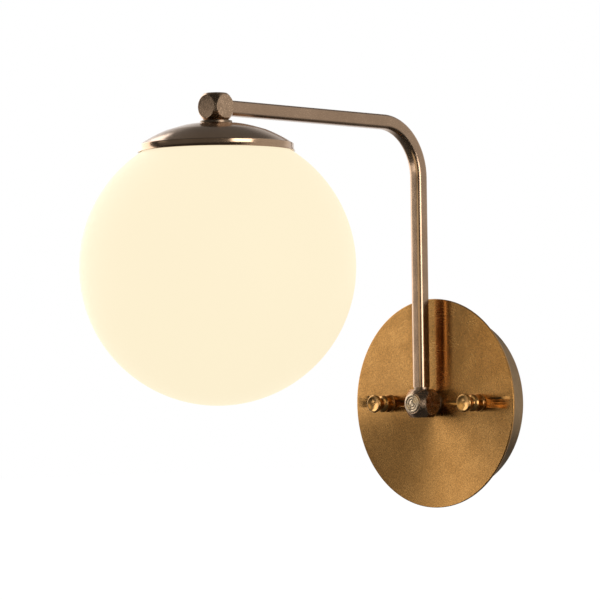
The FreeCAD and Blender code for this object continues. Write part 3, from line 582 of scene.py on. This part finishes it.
def on_ball(ball, start, end, steps=4):
    """Points on the ball between two places of a section, without its ends."""
    return arc_points(ball, atan2(start[1], start[0]), atan2(end[1], end[0]), steps)[1:-1]


def between(first, second):
    return (first[0] + second[0]) / 2, (first[1] + second[1]) / 2


def knuckle_corners(side, half, ball, nose):
    """Where a section's front ends, where the ball starts, and both ends of its flat side."""
    has_side = side < ball
    side_reach = sqrt(ball**2 - side**2) if has_side else 0.0
    side_front, side_back = (min(side, ball), side_reach), (min(side, ball), -side_reach)
    circle = sqrt(ball**2 - half**2)
    face, slope = nose
    if not slope:
        return (circle * 0.6, half), (circle, half), side_front, side_back

    def cone(radius):
        return half - (radius - face) * slope

    if has_side and cone(side) < side_reach:
        return (face, half), (side, cone(side)), (side, cone(side)), side_back
    low, high = face, min(side, ball)
    for _ in range(40):
        test = (low + high) / 2
        inside = test**2 + cone(test) ** 2 < ball**2
        low, high = (test, high) if inside else (low, test)
    meet = (low, cone(low))
    return (face, half), meet, side_front if has_side else meet, side_back


def knuckle_outline(turn, half, ball, nose):
    """Half of the knuckle's section in one direction: radius and distance from front to back."""
    side = half / max(abs(cos(turn)), abs(sin(turn)))
    face, meet, side_front, side_back = knuckle_corners(side, half, ball, nose)
    circle = sqrt(ball**2 - half**2)
    back = (circle, -half)
    slope_middle, side_middle = between(face, meet), between(side_front, side_back)
    front_arc = on_ball(ball, meet, side_front) if dist(meet, side_front) > 1e-6 else [meet] * 3
    back_arc = on_ball(ball, side_back, back)
    points = [(0, half), (face[0] * 0.5, half)]
    points += corner_round((0, half), face, slope_middle) + [slope_middle]
    points += corner_round(slope_middle, meet, front_arc[0]) + front_arc
    points += corner_round(front_arc[-1], side_front, side_middle) + [side_middle]
    points += corner_round(side_middle, side_back, back_arc[0]) + back_arc
    points += corner_round(back_arc[-1], back, (0, -half))
    return points + [(circle * 0.5, -half), (0, -half)]


def knuckle(node, ball_size, axis, nose=(0, 0)):
    """A cube turned down by a ball, or one with a coned nose as well."""
    low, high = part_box(node)
    half = (high.x - low.x) / 2 / MM
    bm = bmesh.new()
    other = axis.cross(SIDE)
    centre = middle(node)
    columns = []
    for turn in knuckle_turns(half, ball_size / 2):
        reach = SIDE * cos(turn) + other * sin(turn)
        outline = knuckle_outline(turn, half, ball_size / 2, nose)
        columns.append([bm.verts.new(centre + (reach * r + axis * d) * MM) for r, d in outline])
    for column, following in zip(columns, columns[1:] + columns[:1]):
        for place in range(len(column) - 1):
            bm.faces.new((column[place], following[place], following[place + 1], column[place + 1]))
    dress(finish_mesh(node.replace("_", "-"), bm, sharp=40.0), tumbled, node)


upper_ball, lower_ball = 19.6, 21.4
nose_face, nose_foot, nose_height = 6.0, 8.2, 2.6
nose = (nose_face, nose_height / (nose_foot - nose_face))
knuckle("upper_knuckle", upper_ball, UP)
knuckle("lower_knuckle", lower_ball, OUT, nose)

# %% [markdown]
# ## The small turned pieces
#
# The plug that fills the knuckle's nose has two raised rings round a button, cut in one go on the
# lathe. The thumb nuts have a waisted barrel for finger and thumb, a neck, and a flared head
# whose dished face ends in a dimple left by the tool. They ride on bodies of their own, because
# each one unscrews.

# %% Plug, nuts and washers
knuckle_reach = 8.2
plug_seat = knuckle_low + OUT * knuckle_reach * MM
plug_outline = [
    (0, -3), (3.5, -3), (3.5, 0), (5.4, 0), (5.4, 0.42, 0.1), (4.95, 0.7, 0.12), (4.25, 0.7, 0.1),
    (3.75, 0.33, 0.12), (3.3, 0.6, 0.1), (2.75, 0.6, 0.1), (2.3, 0.25, 0.1), (1.75, 0.55, 0.12),
    (0.9, 0.66), (0.4, 0.69), (0, 0.7)]
turned("knuckle_plug", turned_brass, plug_outline, plug_seat)

nut_outline = [
    (0, 0), (4.75, 0, 0.1), (5.08, 0.35, 0.2), (4.85, 0.8, 0.2), (4.76, 1.8), (4.72, 3.0), (4.76, 4.0),
    (4.95, 4.6, 0.2), (4.95, 5.0, 0.2), (4.6, 5.6), (4.1, 6.15, 0.2), (3.35, 6.55, 0.15),
    (3.15, 7.0, 0.2), (3.15, 7.9, 0.2), (3.5, 8.3, 0.3), (4.6, 9.9, 0.4), (5.0, 11.0, 0.3),
    (5.3, 11.9, 0.35), (5.2, 12.6, 0.3), (4.75, 13.1, 0.25), (4.2, 13.1, 0.3), (3.4, 12.65),
    (2.5, 12.35), (1.6, 12.15), (0.95, 12.05, 0.1), (0.75, 11.75), (0.4, 11.62), (0, 11.6)]
thumb_washer = flat_ring(2.15, 5.4, 0, 0.8, 0.08, 0.15, 0.2)
for side, x in nut_places.items():
    nut, washer = f"thumb_nut_{side}", f"thumb_washer_{side}"
    turned(nut, polished_nut, nut_outline, back_of(nut, x))
    turned(washer, polished_nut, thumb_washer, back_of(washer, x), around=64, closed=True)

# Painted shade: both washers wear the darkened washer brass, standing for the shade between the parts.
knuckle_washer = flat_ring(nipple_hole, 7.5, 0, 1.8, 0.1, 0.2, 0.4)
turned("knuckle_washer", shade_painted_washer_brass, knuckle_washer, back_of("knuckle_washer"), closed=True)
cap_washer = flat_ring(nipple_hole, 8.8, 0, 1.5, 0.1, 0.2, 0.3)
turned("cap_washer", shade_painted_washer_brass, cap_washer, foot_of("cap_washer"), UP, closed=True)

# %% [markdown]
# ## The cap
#
# The cap was spun: a flat brass blank was pressed over a turning form. It has a flat middle, a
# shallow dome and a short lip that flares out to meet the glass. The sheet is one millimetre
# thick, so the outline goes out along the top and comes back along the underside, and both arcs
# share a centre.

# %% Cap
cap_low, cap_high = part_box("globe_cap")
cap_top = (cap_high.z - cap_low.z) / MM
rim, lip, flat, sheet = 42.0, 4.0, 15.0, 1.0
dome_rise = cap_top - lip
dome_centre = (cap_top + lip - (rim**2 - flat**2) / dome_rise) / 2
dome_radius = hypot(flat, cap_top - dome_centre)


def dome_points(start, end, inset, steps):
    """Places on the dome, or on its inside if inset, from one radius to another."""
    squared = (dome_radius - inset) ** 2
    return [(r, dome_centre + sqrt(squared - r**2)) for r in spread(start, end, steps)]


cap_outline = [(nipple_hole, cap_top, 0.1), (flat, cap_top, 6.5)]
cap_outline += dome_points(flat + 13, rim - 0.35, 0, 20)
cap_outline += [
    (rim + 0.05, lip + 0.05, 0.25), (rim + 0.12, lip - 0.5, 0.1), (rim + 0.1, lip * 0.5),
    (rim + 0.35, lip * 0.22), (rim + 0.72, 0.12, 0.1), (rim + 0.55, 0, 0.1), (rim - 0.2, 0, 0.1)]
cap_outline += [(rim - 0.85, lip * 0.5, 0.3)] + dome_points(rim - sheet, flat, sheet, 24)
cap_outline += [(nipple_hole, cap_top - sheet, 0.1)]
turned("globe_cap", spun_cap, cap_outline, foot_of("globe_cap"), UP, around=192, closed=True)

# %% [markdown]
# ## The globe
#
# The ball is blown opal glass with a round mouth cut in its top and melted smooth. It is a shell
# with a real wall, because the wall shows when the glass is pulled down for a new lamp. The
# outline runs up the outside, over the rim of the mouth, and back down the inside.

# %% Globe
glass_radius, glass_wall, mouth = 75.0, 2.5, 32.9
inner_radius = glass_radius - glass_wall
globe_centre = drop_line + UP * (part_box("globe")[0].z + glass_radius * MM)
mouth_outside = acos(mouth / glass_radius)
mouth_inside = acos(mouth / inner_radius)
outside = arc_points(glass_radius, -pi / 2, mouth_outside, 84)
inside = arc_points(inner_radius, mouth_inside, -pi / 2, 72)
rim_arc = bow(outside[-1], inside[0], -0.9, 8)
ball_outline = [(0, -glass_radius)] + outside[1:] + rim_arc + inside[:-1] + [(0, -inner_radius)]
globe = lathe("opal-globe", ball_outline, globe_centre, UP, around=160, sharp=60)
dress(globe, opal, "globe")

# %% [markdown]
# ## The arm, with Geometry Nodes
#
# The arm is one rounded square section that follows a path: straight up, round a bend, straight
# out. That rule is what Geometry Nodes are good at. The tree starts with a straight line of three
# points, moves the middle one to the corner, rounds it with Fillet Curve, and sweeps a rounded
# square along it. It also writes the `grain` attribute that the arm's brass reads. The sizes are
# inputs with names, so the same tree could bend another arm.

# %% Helpers for geometry trees
FLOAT, WHOLE, PLACE = "NodeSocketFloat", "NodeSocketInt", "NodeSocketVector"


def new_tree(name, inputs):
    """An empty geometry tree with named inputs, and the sockets that carry them."""
    tree = bpy.data.node_groups.new(name, "GeometryNodeTree")
    for label, kind in {**inputs, "Material": "NodeSocketMaterial"}.items():
        tree.interface.new_socket(label, in_out="INPUT", socket_type=kind)
    tree.interface.new_socket("Geometry", in_out="OUTPUT", socket_type="NodeSocketGeometry")
    return tree, tree.nodes.new("NodeGroupInput").outputs


def close_tree(tree, last, material):
    """Ends a tree: instances become real mesh, and the mesh gets its material."""
    whole = wire(tree, "GeometryNodeRealizeInstances", {0: last})
    painted = wire(tree, "GeometryNodeSetMaterial", {"Geometry": whole, "Material": material})
    smooth = wire(tree, "GeometryNodeSetShadeSmooth", {0: painted})
    wire(tree, "NodeGroupOutput", {0: smooth})


def grow(name, tree, values):
    """Runs a tree with the given values and keeps the result as a plain object."""
    piece = bpy.data.objects.new(name, bpy.data.meshes.new(name))
    scene.collection.objects.link(piece)
    modifier = piece.modifiers.new("grow", "NODES")
    modifier.node_group = tree
    sockets = {s.name: s.identifier for s in tree.interface.items_tree if s.in_out == "INPUT"}
    for label, value in values.items():
        modifier[sockets[label]] = value
    return plain_mesh(piece)


print("geometry helpers ready")

# %% The arm
arm_tree, given = new_tree("swept arm", {
    "Foot": PLACE, "Corner": PLACE, "Head": PLACE, "Bend radius": FLOAT, "Side": FLOAT,
    "Corner round": FLOAT})
add = partial(wire, arm_tree)
line = add("GeometryNodeCurvePrimitiveLine", {"Start": given["Foot"], "End": given["Head"]})
three = add("GeometryNodeResampleCurve", {"Curve": line, "Count": 3})
index = add("GeometryNodeInputIndex").outputs[0]
is_corner = add("FunctionNodeCompare", {"A": index, "B": 1}, data_type="INT", operation="EQUAL")
bent = add("GeometryNodeSetPosition", {
    "Geometry": three, "Selection": is_corner, "Position": given["Corner"]})
path = add("GeometryNodeFilletCurve", {
    "Curve": bent, "Radius": given["Bend radius"], "Count": 32}, mode="POLY")
square = add("GeometryNodeCurvePrimitiveQuadrilateral", {
    "Width": given["Side"], "Height": given["Side"]})
section = add("GeometryNodeFilletCurve", {
    "Curve": square, "Radius": given["Corner round"], "Count": 10}, mode="POLY")


def with_length(tree, curve):
    """The curve with each point's distance along it noted, and that note."""
    length = wire(tree, "GeometryNodeSplineParameter").outputs["Length"]
    noted = tree.nodes.new("GeometryNodeCaptureAttribute")
    noted.capture_items.new("FLOAT", "Length")
    tree.links.new(curve, noted.inputs["Geometry"])
    tree.links.new(length, noted.inputs["Length"])
    return noted.outputs["Geometry"], noted.outputs["Length"]


path_curve, along = with_length(arm_tree, path.outputs[0])
section_curve, around = with_length(arm_tree, section.outputs[0])
swept = add("GeometryNodeCurveToMesh", {
    "Curve": path_curve, "Profile Curve": section_curve, "Fill Caps": True})
pair = add("ShaderNodeCombineXYZ", {0: around, 1: along})
grained = add("GeometryNodeStoreNamedAttribute", {
    "Geometry": swept, "Name": "grain", "Value": pair}, data_type="FLOAT_VECTOR")
close_tree(arm_tree, grained, given["Material"])
arm_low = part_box("arm_tube")[0]
foot = Vector((0, knuckle_low.y, arm_low.z))
head = Vector((0, arm_low.y, knuckle_high.z))
arm = grow("arm", arm_tree, {
    "Foot": foot, "Corner": Vector((0, foot.y, head.z)), "Head": head, "Bend radius": 31.0 * MM,
    "Side": 8.4 * MM, "Corner round": 2.6 * MM, "Material": burnished_tube})
dress(arm, burnished_tube, "arm_tube")

# %% [markdown]
# ## Threads and toothed washers
#
# A screw thread is a ridge that winds round a rod, so it is a helix with a small section swept
# along it. The CAD rods stay as they are and the ridges are added over them. One tree makes the
# threads of the studs and of both nipples. A second tree makes the toothed lock washers from
# Blender's star curve: a star with a round hole, filled and given its thickness.

# %% Threads
thread_tree, given = new_tree("thread", {
    "Turns": FLOAT, "Radius": FLOAT, "Length": FLOAT, "Ridge": FLOAT, "Start": PLACE, "Turned": PLACE})
add = partial(wire, thread_tree)
helix = add("GeometryNodeCurveSpiral", {
    "Resolution": 28, "Rotations": given["Turns"], "Start Radius": given["Radius"],
    "End Radius": given["Radius"], "Height": given["Length"]})
ridge = add("GeometryNodeCurvePrimitiveCircle", {"Resolution": 5, "Radius": given["Ridge"]})
wound = add("GeometryNodeCurveToMesh", {"Curve": helix, "Profile Curve": ridge, "Fill Caps": True})
set_down = add("GeometryNodeTransform", {
    "Geometry": wound, "Translation": given["Start"], "Rotation": given["Turned"]})
close_tree(thread_tree, set_down, given["Material"])


def thread(name, radius, start, length, pitch, turned, material):
    """A ridge wound round a rod, a little sunk into it."""
    sunk, thickness = pitch * 0.12, pitch * 0.22
    values = {"Turns": length / pitch, "Radius": (radius - sunk) * MM, "Length": length * MM,
              "Ridge": thickness * MM, "Start": start, "Turned": turned, "Material": material}
    piece = grow(name, thread_tree, values)
    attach(piece, "fixture")
    print(name, "has", round(length / pitch), "turns")


outwards, upwards = (radians(90), 0, 0), (0, 0, 0)
stud_radius, stud_pitch, stud_start, stud_length = 2.0, 0.7, 6.0, 26.2
for side, x in nut_places.items():
    thread(f"stud-thread-{side}", stud_radius, Vector((x, -stud_start * MM, 0)),
           stud_length, stud_pitch, outwards, zinc)
nipple_radius, nipple_pitch, plain_end = 5.0, 1.0, 0.3 * MM
lower_start = back_of("lower_nipple") + OUT * plain_end
upper_start = drop_line + UP * (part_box("upper_nipple")[0].z + plain_end)
for level, start, length, turned_by in (
        ("lower", lower_start, 6.0, outwards), ("upper", upper_start, 7.6, upwards)):
    thread(f"{level}-nipple-thread", nipple_radius, start, length, nipple_pitch,
           turned_by, plain_brass)

# %% Toothed washers
star_tree, given = new_tree("toothed washer", {
    "Teeth": WHOLE, "Root": FLOAT, "Tip": FLOAT, "Bore": FLOAT, "Thickness": FLOAT, "Start": PLACE,
    "Turned": PLACE})
add = partial(wire, star_tree)
star = add("GeometryNodeCurveStar", {
    "Points": given["Teeth"], "Inner Radius": given["Root"], "Outer Radius": given["Tip"],
    "Twist": 0.12})
bore = add("GeometryNodeCurvePrimitiveCircle", {"Resolution": 48, "Radius": given["Bore"]})
both = add("GeometryNodeJoinGeometry", {0: star})
star_tree.links.new(bore.outputs[0], both.inputs[0])
blank = add("GeometryNodeFillCurve", {0: both})
thick = add("GeometryNodeExtrudeMesh", {
    "Mesh": blank, "Offset Scale": given["Thickness"], "Individual": False})
under = add("GeometryNodeFlipFaces", {"Mesh": blank})
solid = add("GeometryNodeJoinGeometry", {0: thick})
star_tree.links.new(under.outputs[0], solid.inputs[0])
joined = add("GeometryNodeMergeByDistance", {"Geometry": solid, "Distance": 0.001 * MM})
laid = add("GeometryNodeTransform", {
    "Geometry": joined, "Translation": given["Start"], "Rotation": given["Turned"]})
close_tree(star_tree, laid, given["Material"])


def flat_shaded(piece):
    piece.data.shade_flat()
    return piece


def toothed_washer(node, start, turned):
    values = {
        "Teeth": 12, "Root": 6.5 * MM, "Tip": 7.5 * MM, "Bore": nipple_hole * MM, "Thickness": 0.8 * MM,
        "Start": start, "Turned": turned, "Material": spring_steel}
    dress(flat_shaded(grow(node.replace("_", "-"), star_tree, values)), spring_steel, node)


toothed_washer("lower_lock_washer", back_of("lower_lock_washer"), outwards)
toothed_washer("upper_lock_washer", foot_of("upper_lock_washer"), upwards)

# %% [markdown]
# ## The lamp's light-emitting chips
#
# Inside the frosted capsule stands a thin board with a row of yellow chips on each side. They
# repeat at an even pitch, so they are instances on a line of points. Each block is thicker than
# the board and shows on both sides. Realize Instances at the end makes them real mesh, because the
# export leaves instances out.

# %% Board and chips
board_low, board_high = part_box("bulb_board")
chip_tree, given = new_tree("rows of chips", {
    "Rows": WHOLE, "Pitch": FLOAT, "Chip": FLOAT, "Thickness": FLOAT, "First": PLACE})
add = partial(wire, chip_tree)
drop = add("ShaderNodeCombineXYZ", {2: given["Pitch"]})
posts = add("GeometryNodeMeshLine", {
    "Count": given["Rows"], "Start Location": given["First"], "Offset": drop})
size = add("ShaderNodeCombineXYZ", {0: given["Chip"], 1: given["Thickness"], 2: given["Chip"]})
chip = add("GeometryNodeMeshCube", {"Size": size})
row = add("GeometryNodeInstanceOnPoints", {"Points": posts, "Instance": chip})
close_tree(chip_tree, row, given["Material"])
board_middle = (board_low + board_high) / 2
bare_top = 3.8 * MM
first_chip = Vector((0, board_middle.y, board_high.z - bare_top))
chips = grow("lamp-chips", chip_tree, {
    "Rows": 5, "Pitch": -4.6 * MM, "Chip": 2.8 * MM, "Thickness": 1.9 * MM, "First": first_chip,
    "Material": phosphor})
flat_shaded(chips)


def slab(name, low, high, edge):
    """A block with its corners softened by a Bevel modifier."""
    bm = bmesh.new()
    bmesh.ops.create_cube(bm, size=1.0)
    for vert in bm.verts:
        vert.co = Vector(low[n] + (high[n] - low[n]) * (vert.co[n] + 0.5) for n in range(3))
    piece = finish_mesh(name, bm)
    bevel = piece.modifiers.new("edge", "BEVEL")
    bevel.width = edge * MM
    bevel.segments = 2
    return plain_mesh(piece)


half_board = 0.5 * MM
board_low.y, board_high.y = board_middle.y - half_board, board_middle.y + half_board
board = slab("lamp-board", board_low, board_high, 0.15)
dress(board, bisque, "bulb_board")
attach(chips, "bulb")

# %% [markdown]
# ## Corners on the pressed and moulded pieces
#
# The bracket, strap, clip, nuts, lampholder and terminal block keep the CAD's shape, but a CAD
# mesh has razor edges and loose triangles. A copy of each is welded, its flat triangles are
# merged back into whole faces, and its sharp edges get a small bevel. The copy then stands in for
# the CAD node. A bevel is what makes stamped steel or a moulded block look real up close.

# %% Softened copies
def softened(node, width, material):
    """A welded copy of a CAD node, with its edges of over 28 degrees bevelled."""
    limit = radians(28.0)
    bm = bmesh.new()
    bm.from_mesh(frame["nodes"][node].data)
    bmesh.ops.remove_doubles(bm, verts=bm.verts, dist=2e-6)
    bmesh.ops.dissolve_limit(bm, angle_limit=radians(1.0), verts=bm.verts, edges=bm.edges)
    sharp = [edge for edge in bm.edges if edge.calc_face_angle(0) > limit]
    bmesh.ops.bevel(bm, geom=sharp, offset=width * MM, segments=2, affect="EDGES", clamp_overlap=True,
                    profile=0.5)
    bmesh.ops.triangulate(bm, faces=[face for face in bm.faces if len(face.verts) > 4])
    dress(finish_mesh(node.replace("_", "-"), bm), material, node)


for width, material, nodes in (
        (0.2, zinc, ("wall_bracket", "stud_lock_nuts", "holder_strap")),
        (0.12, spring_steel, ("globe_clip",)),
        (0.2, plain_brass, ("lower_nipple_nut", "upper_nipple_nut")),
        (0.5, glazed, ("lampholder_body",)), (0.35, bisque, ("bulb_base",)),
        (0.3, moulded, ("terminal_block",))):
    for node in nodes:
        softened(node, width, material)

# %% [markdown]
# ## Everything else keeps its CAD mesh
#
# The remaining pieces are small or hidden and their shapes are right, so only their finish
# changes. A CAD object is never moved and its mesh keeps its shape, but it may wear a new
# material.

# %% Finishes for the CAD pieces that stay
plain_pieces = (
    (zinc, ("mounting_studs", "holder_screws", "terminal_screws", "block_screw")),
    (plain_brass, ("lower_nipple", "upper_nipple", "lampholder_contacts", "terminal_barrels",
                   "earth_screw")),
    # Painted shade: the arm spigots wear the same darkened washer brass.
    (shade_painted_washer_brass, ("arm_spigot_lower", "arm_spigot_upper")),
    (nickel, ("bulb_pins", "earth_lug")),
    (frosted, ("bulb_capsule",)),
    (felt, ("globe_gasket",)),
    (live_rubber, ("lamp_wire_live",)),
    (neutral_rubber, ("lamp_wire_neutral",)),
    (earth_rubber, ("earth_wire",)),
)
for material, nodes in plain_pieces:
    for node in nodes:
        mesh = frame["nodes"][node].data
        mesh.materials.clear()
        mesh.materials.append(material)
plain_count = sum(len(nodes) for material, nodes in plain_pieces)
print(plain_count, "CAD pieces keep their mesh and", len(covered), "are replaced")

# %% [markdown]
# ## Camera
#
# The photograph was taken from the right and from just below the middle, with a long lens, so
# parallel lines hardly converge. The camera stands about 1.7 metres away, and is rolled a little
# because the photographed arm leans.

# %% Camera
yaw, pitch, roll = radians(44.21), radians(1.97), radians(-0.75)
forward = Vector((-sin(yaw) * cos(pitch), cos(yaw) * cos(pitch), sin(pitch)))
right = Vector((cos(yaw), sin(yaw), 0))
upright = right.cross(forward)
tilted_right = right * cos(roll) + upright * sin(roll)
tilted_up = upright * cos(roll) - right * sin(roll)
camera = bpy.data.objects.new("camera", bpy.data.cameras.new("camera"))
camera.data.sensor_width = 36.0
camera.data.lens = 171.7
camera.data.clip_end = 50.0
turn = Matrix((tilted_right, tilted_up, -forward)).transposed()
camera_place = (1.1122, -1.2748, 0.0038)
camera.matrix_world = Matrix.Translation(camera_place) @ turn.to_4x4()
scene.collection.objects.link(camera)
scene.camera = camera
scene.view_settings.view_transform = "Standard"
print("camera is", round(camera.location.length, 3), "m from the backplate")

# %% [markdown]
# ## A white room
#
# The background is plain white. It comes from the world and the floor, as the camera and the
# glass see them, and not from strong lamps, which would wash out the brass. Everything else is lit
# by a softer daylight, and the floor takes the object's shadow.

# %% White world and pale floor
def seen_white(tree):
    """1 for a ray from the camera, off a glossy surface or through glass."""
    rays = wire(tree, "ShaderNodeLightPath").outputs
    either = maths(tree, "MAXIMUM", rays["Is Camera Ray"], rays["Is Glossy Ray"])
    return maths(tree, "MAXIMUM", either, rays["Is Transmission Ray"])


def bare_material(name):
    """A material with nothing in its tree yet."""
    material, tree, shader = new_material(name)
    tree.nodes.clear()
    return material, tree


WHITE = (1, 1, 1, 1)
world = bpy.data.worlds.new("studio")
world.use_nodes = True
scene.world = world
sky = world.node_tree
sky.nodes.clear()
daylight = wire(sky, "ShaderNodeBackground", {"Color": WHITE, "Strength": 0.62})
white = wire(sky, "ShaderNodeBackground", {"Color": WHITE, "Strength": 1.0})
choice = wire(sky, "ShaderNodeMixShader", {0: seen_white(sky), 1: daylight, 2: white})
wire(sky, "ShaderNodeOutputWorld", {0: choice})

bm = bmesh.new()
floor_half_width, floor_height = 9.0, -0.35
bmesh.ops.create_grid(bm, x_segments=1, y_segments=1, size=floor_half_width)
bmesh.ops.translate(bm, verts=bm.verts, vec=UP * floor_height)
floor = finish_mesh("floor", bm)
floor_paint, tree = bare_material("pale floor")
matt = wire(tree, "ShaderNodeBsdfDiffuse", {"Color": (0.78, 0.78, 0.77, 1)})
floor_glow = maths(tree, "MULTIPLY", seen_white(tree), 0.55)
glow = wire(tree, "ShaderNodeEmission", {"Color": WHITE, "Strength": floor_glow})
both = wire(tree, "ShaderNodeAddShader", {0: matt, 1: glow})
wire(tree, "ShaderNodeOutputMaterial", {0: both})
floor.data.materials.append(floor_paint)
floor.visible_glossy = False
print("white world and floor")

# %% [markdown]
# ## What the metal sees
#
# Polished metal has no look of its own: it shows the room. A photographer hangs dark cloth round
# brass and leaves a few openings in it, so that every curve gets a deep tone as well as a bright
# one. Here the cloth is a big ball that only reflections can see. Each window in it has a
# direction, half a width, half a height and a soft border, in degrees, and a level. The white
# backdrop is one of them. Two stand where the backplate mirrors the camera: a bit of wall, and a
# bright table below it. A small one at the right puts a spark on the cap's lip. A screen of lit
# paper stands near the wall at the left. It is close to the object, so each part of the brushed
# backplate sees it from another angle, and that makes the bright fan. The two lamps light what
# isn't metal, and stay out of the reflections.
#
# The brushing smears the mirror image of each thumb nut into dark lines beside it. The photograph
# has none. A piece can be left out of reflections with its Ray Visibility, but here that trades
# the dark lines for pale ones, so they stay.

# %% Lamps and cloth
LIGHT_MIDDLE = Vector((0, -0.10, 0.05))


def compass(azimuth, height=0.0):
    """A direction from its azimuth, counted from +X towards +Y, and its height, both in degrees."""
    a, h = radians(azimuth), radians(height)
    return Vector((cos(a) * cos(h), sin(a) * cos(h), sin(h)))


def soft_lamp(name, azimuth, height, distance, size, power):
    """A softbox that faces the middle of the light from an azimuth and height in degrees."""
    data = bpy.data.lights.new(name, "AREA")
    data.shape = "RECTANGLE"
    data.size, data.size_y = size
    data.energy = power
    lamp = bpy.data.objects.new(name, data)
    direction = compass(azimuth, height)
    turn = direction.to_track_quat("Z", "Y").to_matrix().to_4x4()
    lamp.matrix_world = Matrix.Translation(LIGHT_MIDDLE + direction * distance) @ turn
    lamp.visible_glossy = False
    scene.collection.objects.link(lamp)


def hang(piece, material):
    """Makes a piece of the studio that shows in polished metal only."""
    piece.data.materials.append(material)
    for ray in ("camera", "diffuse", "transmission", "shadow"):
        setattr(piece, f"visible_{ray}", False)


def opening(tree, direction, azimuth, height, half_width, half_height, border, level):
    """Level inside a window round a direction, falling to 0 over a border; all in degrees."""
    ahead, aside, up = [vector_maths(tree, "DOT_PRODUCT", direction, way)
                        for way in (compass(azimuth), compass(azimuth + 90), UP)]
    turn = maths(tree, "ABSOLUTE", maths(tree, "ARCTAN2", aside, ahead))
    rise = maths(tree, "SUBTRACT", maths(tree, "ARCSINE", up), radians(height))
    climb = maths(tree, "ABSOLUTE", rise)
    across = remap(tree, turn, radians(half_width), radians(half_width + border), 1.0, 0.0)
    along = remap(tree, climb, radians(half_height), radians(half_height + border), 1.0, 0.0)
    return maths(tree, "MULTIPLY", maths(tree, "MULTIPLY", across, along), level)


soft_lamp("key", 198, 22, 1.6, (1.0, 1.3), 6.0)
soft_lamp("fill", 324, 26, 2.2, (1.2, 1.2), 4.0)

cloth, tree = bare_material("dark cloth")
ball_place = wire(tree, "ShaderNodeTexCoord").outputs["Object"]
direction = vector_maths(tree, "NORMALIZE", ball_place)
windows = {
    "backdrop": (135, 0, 50, 18, 28, 1.0),
    "backdrop at the right": (45, 20, 30, 35, 25, 0.65),
    "ceiling behind": (135, 50, 70, 30, 15, 0.16),
    "wall straight ahead": (230, 3, 6, 4, 4, 0.55),
    "light table": (233, -12, 5, 6, 3, 2.6),
    "room in front": (280, 0, 52, 24, 12, 0.14),
    "small window at the right": (352, 4, 14, 14, 3, 5.0),
}
brightness = 0.045
for values in windows.values():
    brightness = maths(tree, "MAXIMUM", opening(tree, direction, *values), brightness)
hung = wire(tree, "ShaderNodeEmission", {"Color": WHITE, "Strength": brightness})
wire(tree, "ShaderNodeOutputMaterial", {0: hung})

bm = bmesh.new()
bmesh.ops.create_uvsphere(bm, u_segments=48, v_segments=24, radius=4.0)
hang(finish_mesh("dark-cloth", bm), cloth)

bm = bmesh.new()
foot, head = -0.02, 0.60
near_end, far_end = Vector((-0.400, -0.372, 0)), Vector((-0.55, 0.10, 0))
corners = [end + UP * height for end, height in
           ((near_end, foot), (far_end, foot), (far_end, head), (near_end, head))]
bm.faces.new([bm.verts.new(corner) for corner in corners])
paper, tree = bare_material("lit paper")
lit = wire(tree, "ShaderNodeEmission", {"Color": WHITE, "Strength": 2.5})
wire(tree, "ShaderNodeOutputMaterial", {0: lit})
hang(finish_mesh("paper-screen", bm), paper)
print("lamps are up, and the cloth has", len(windows), "windows")
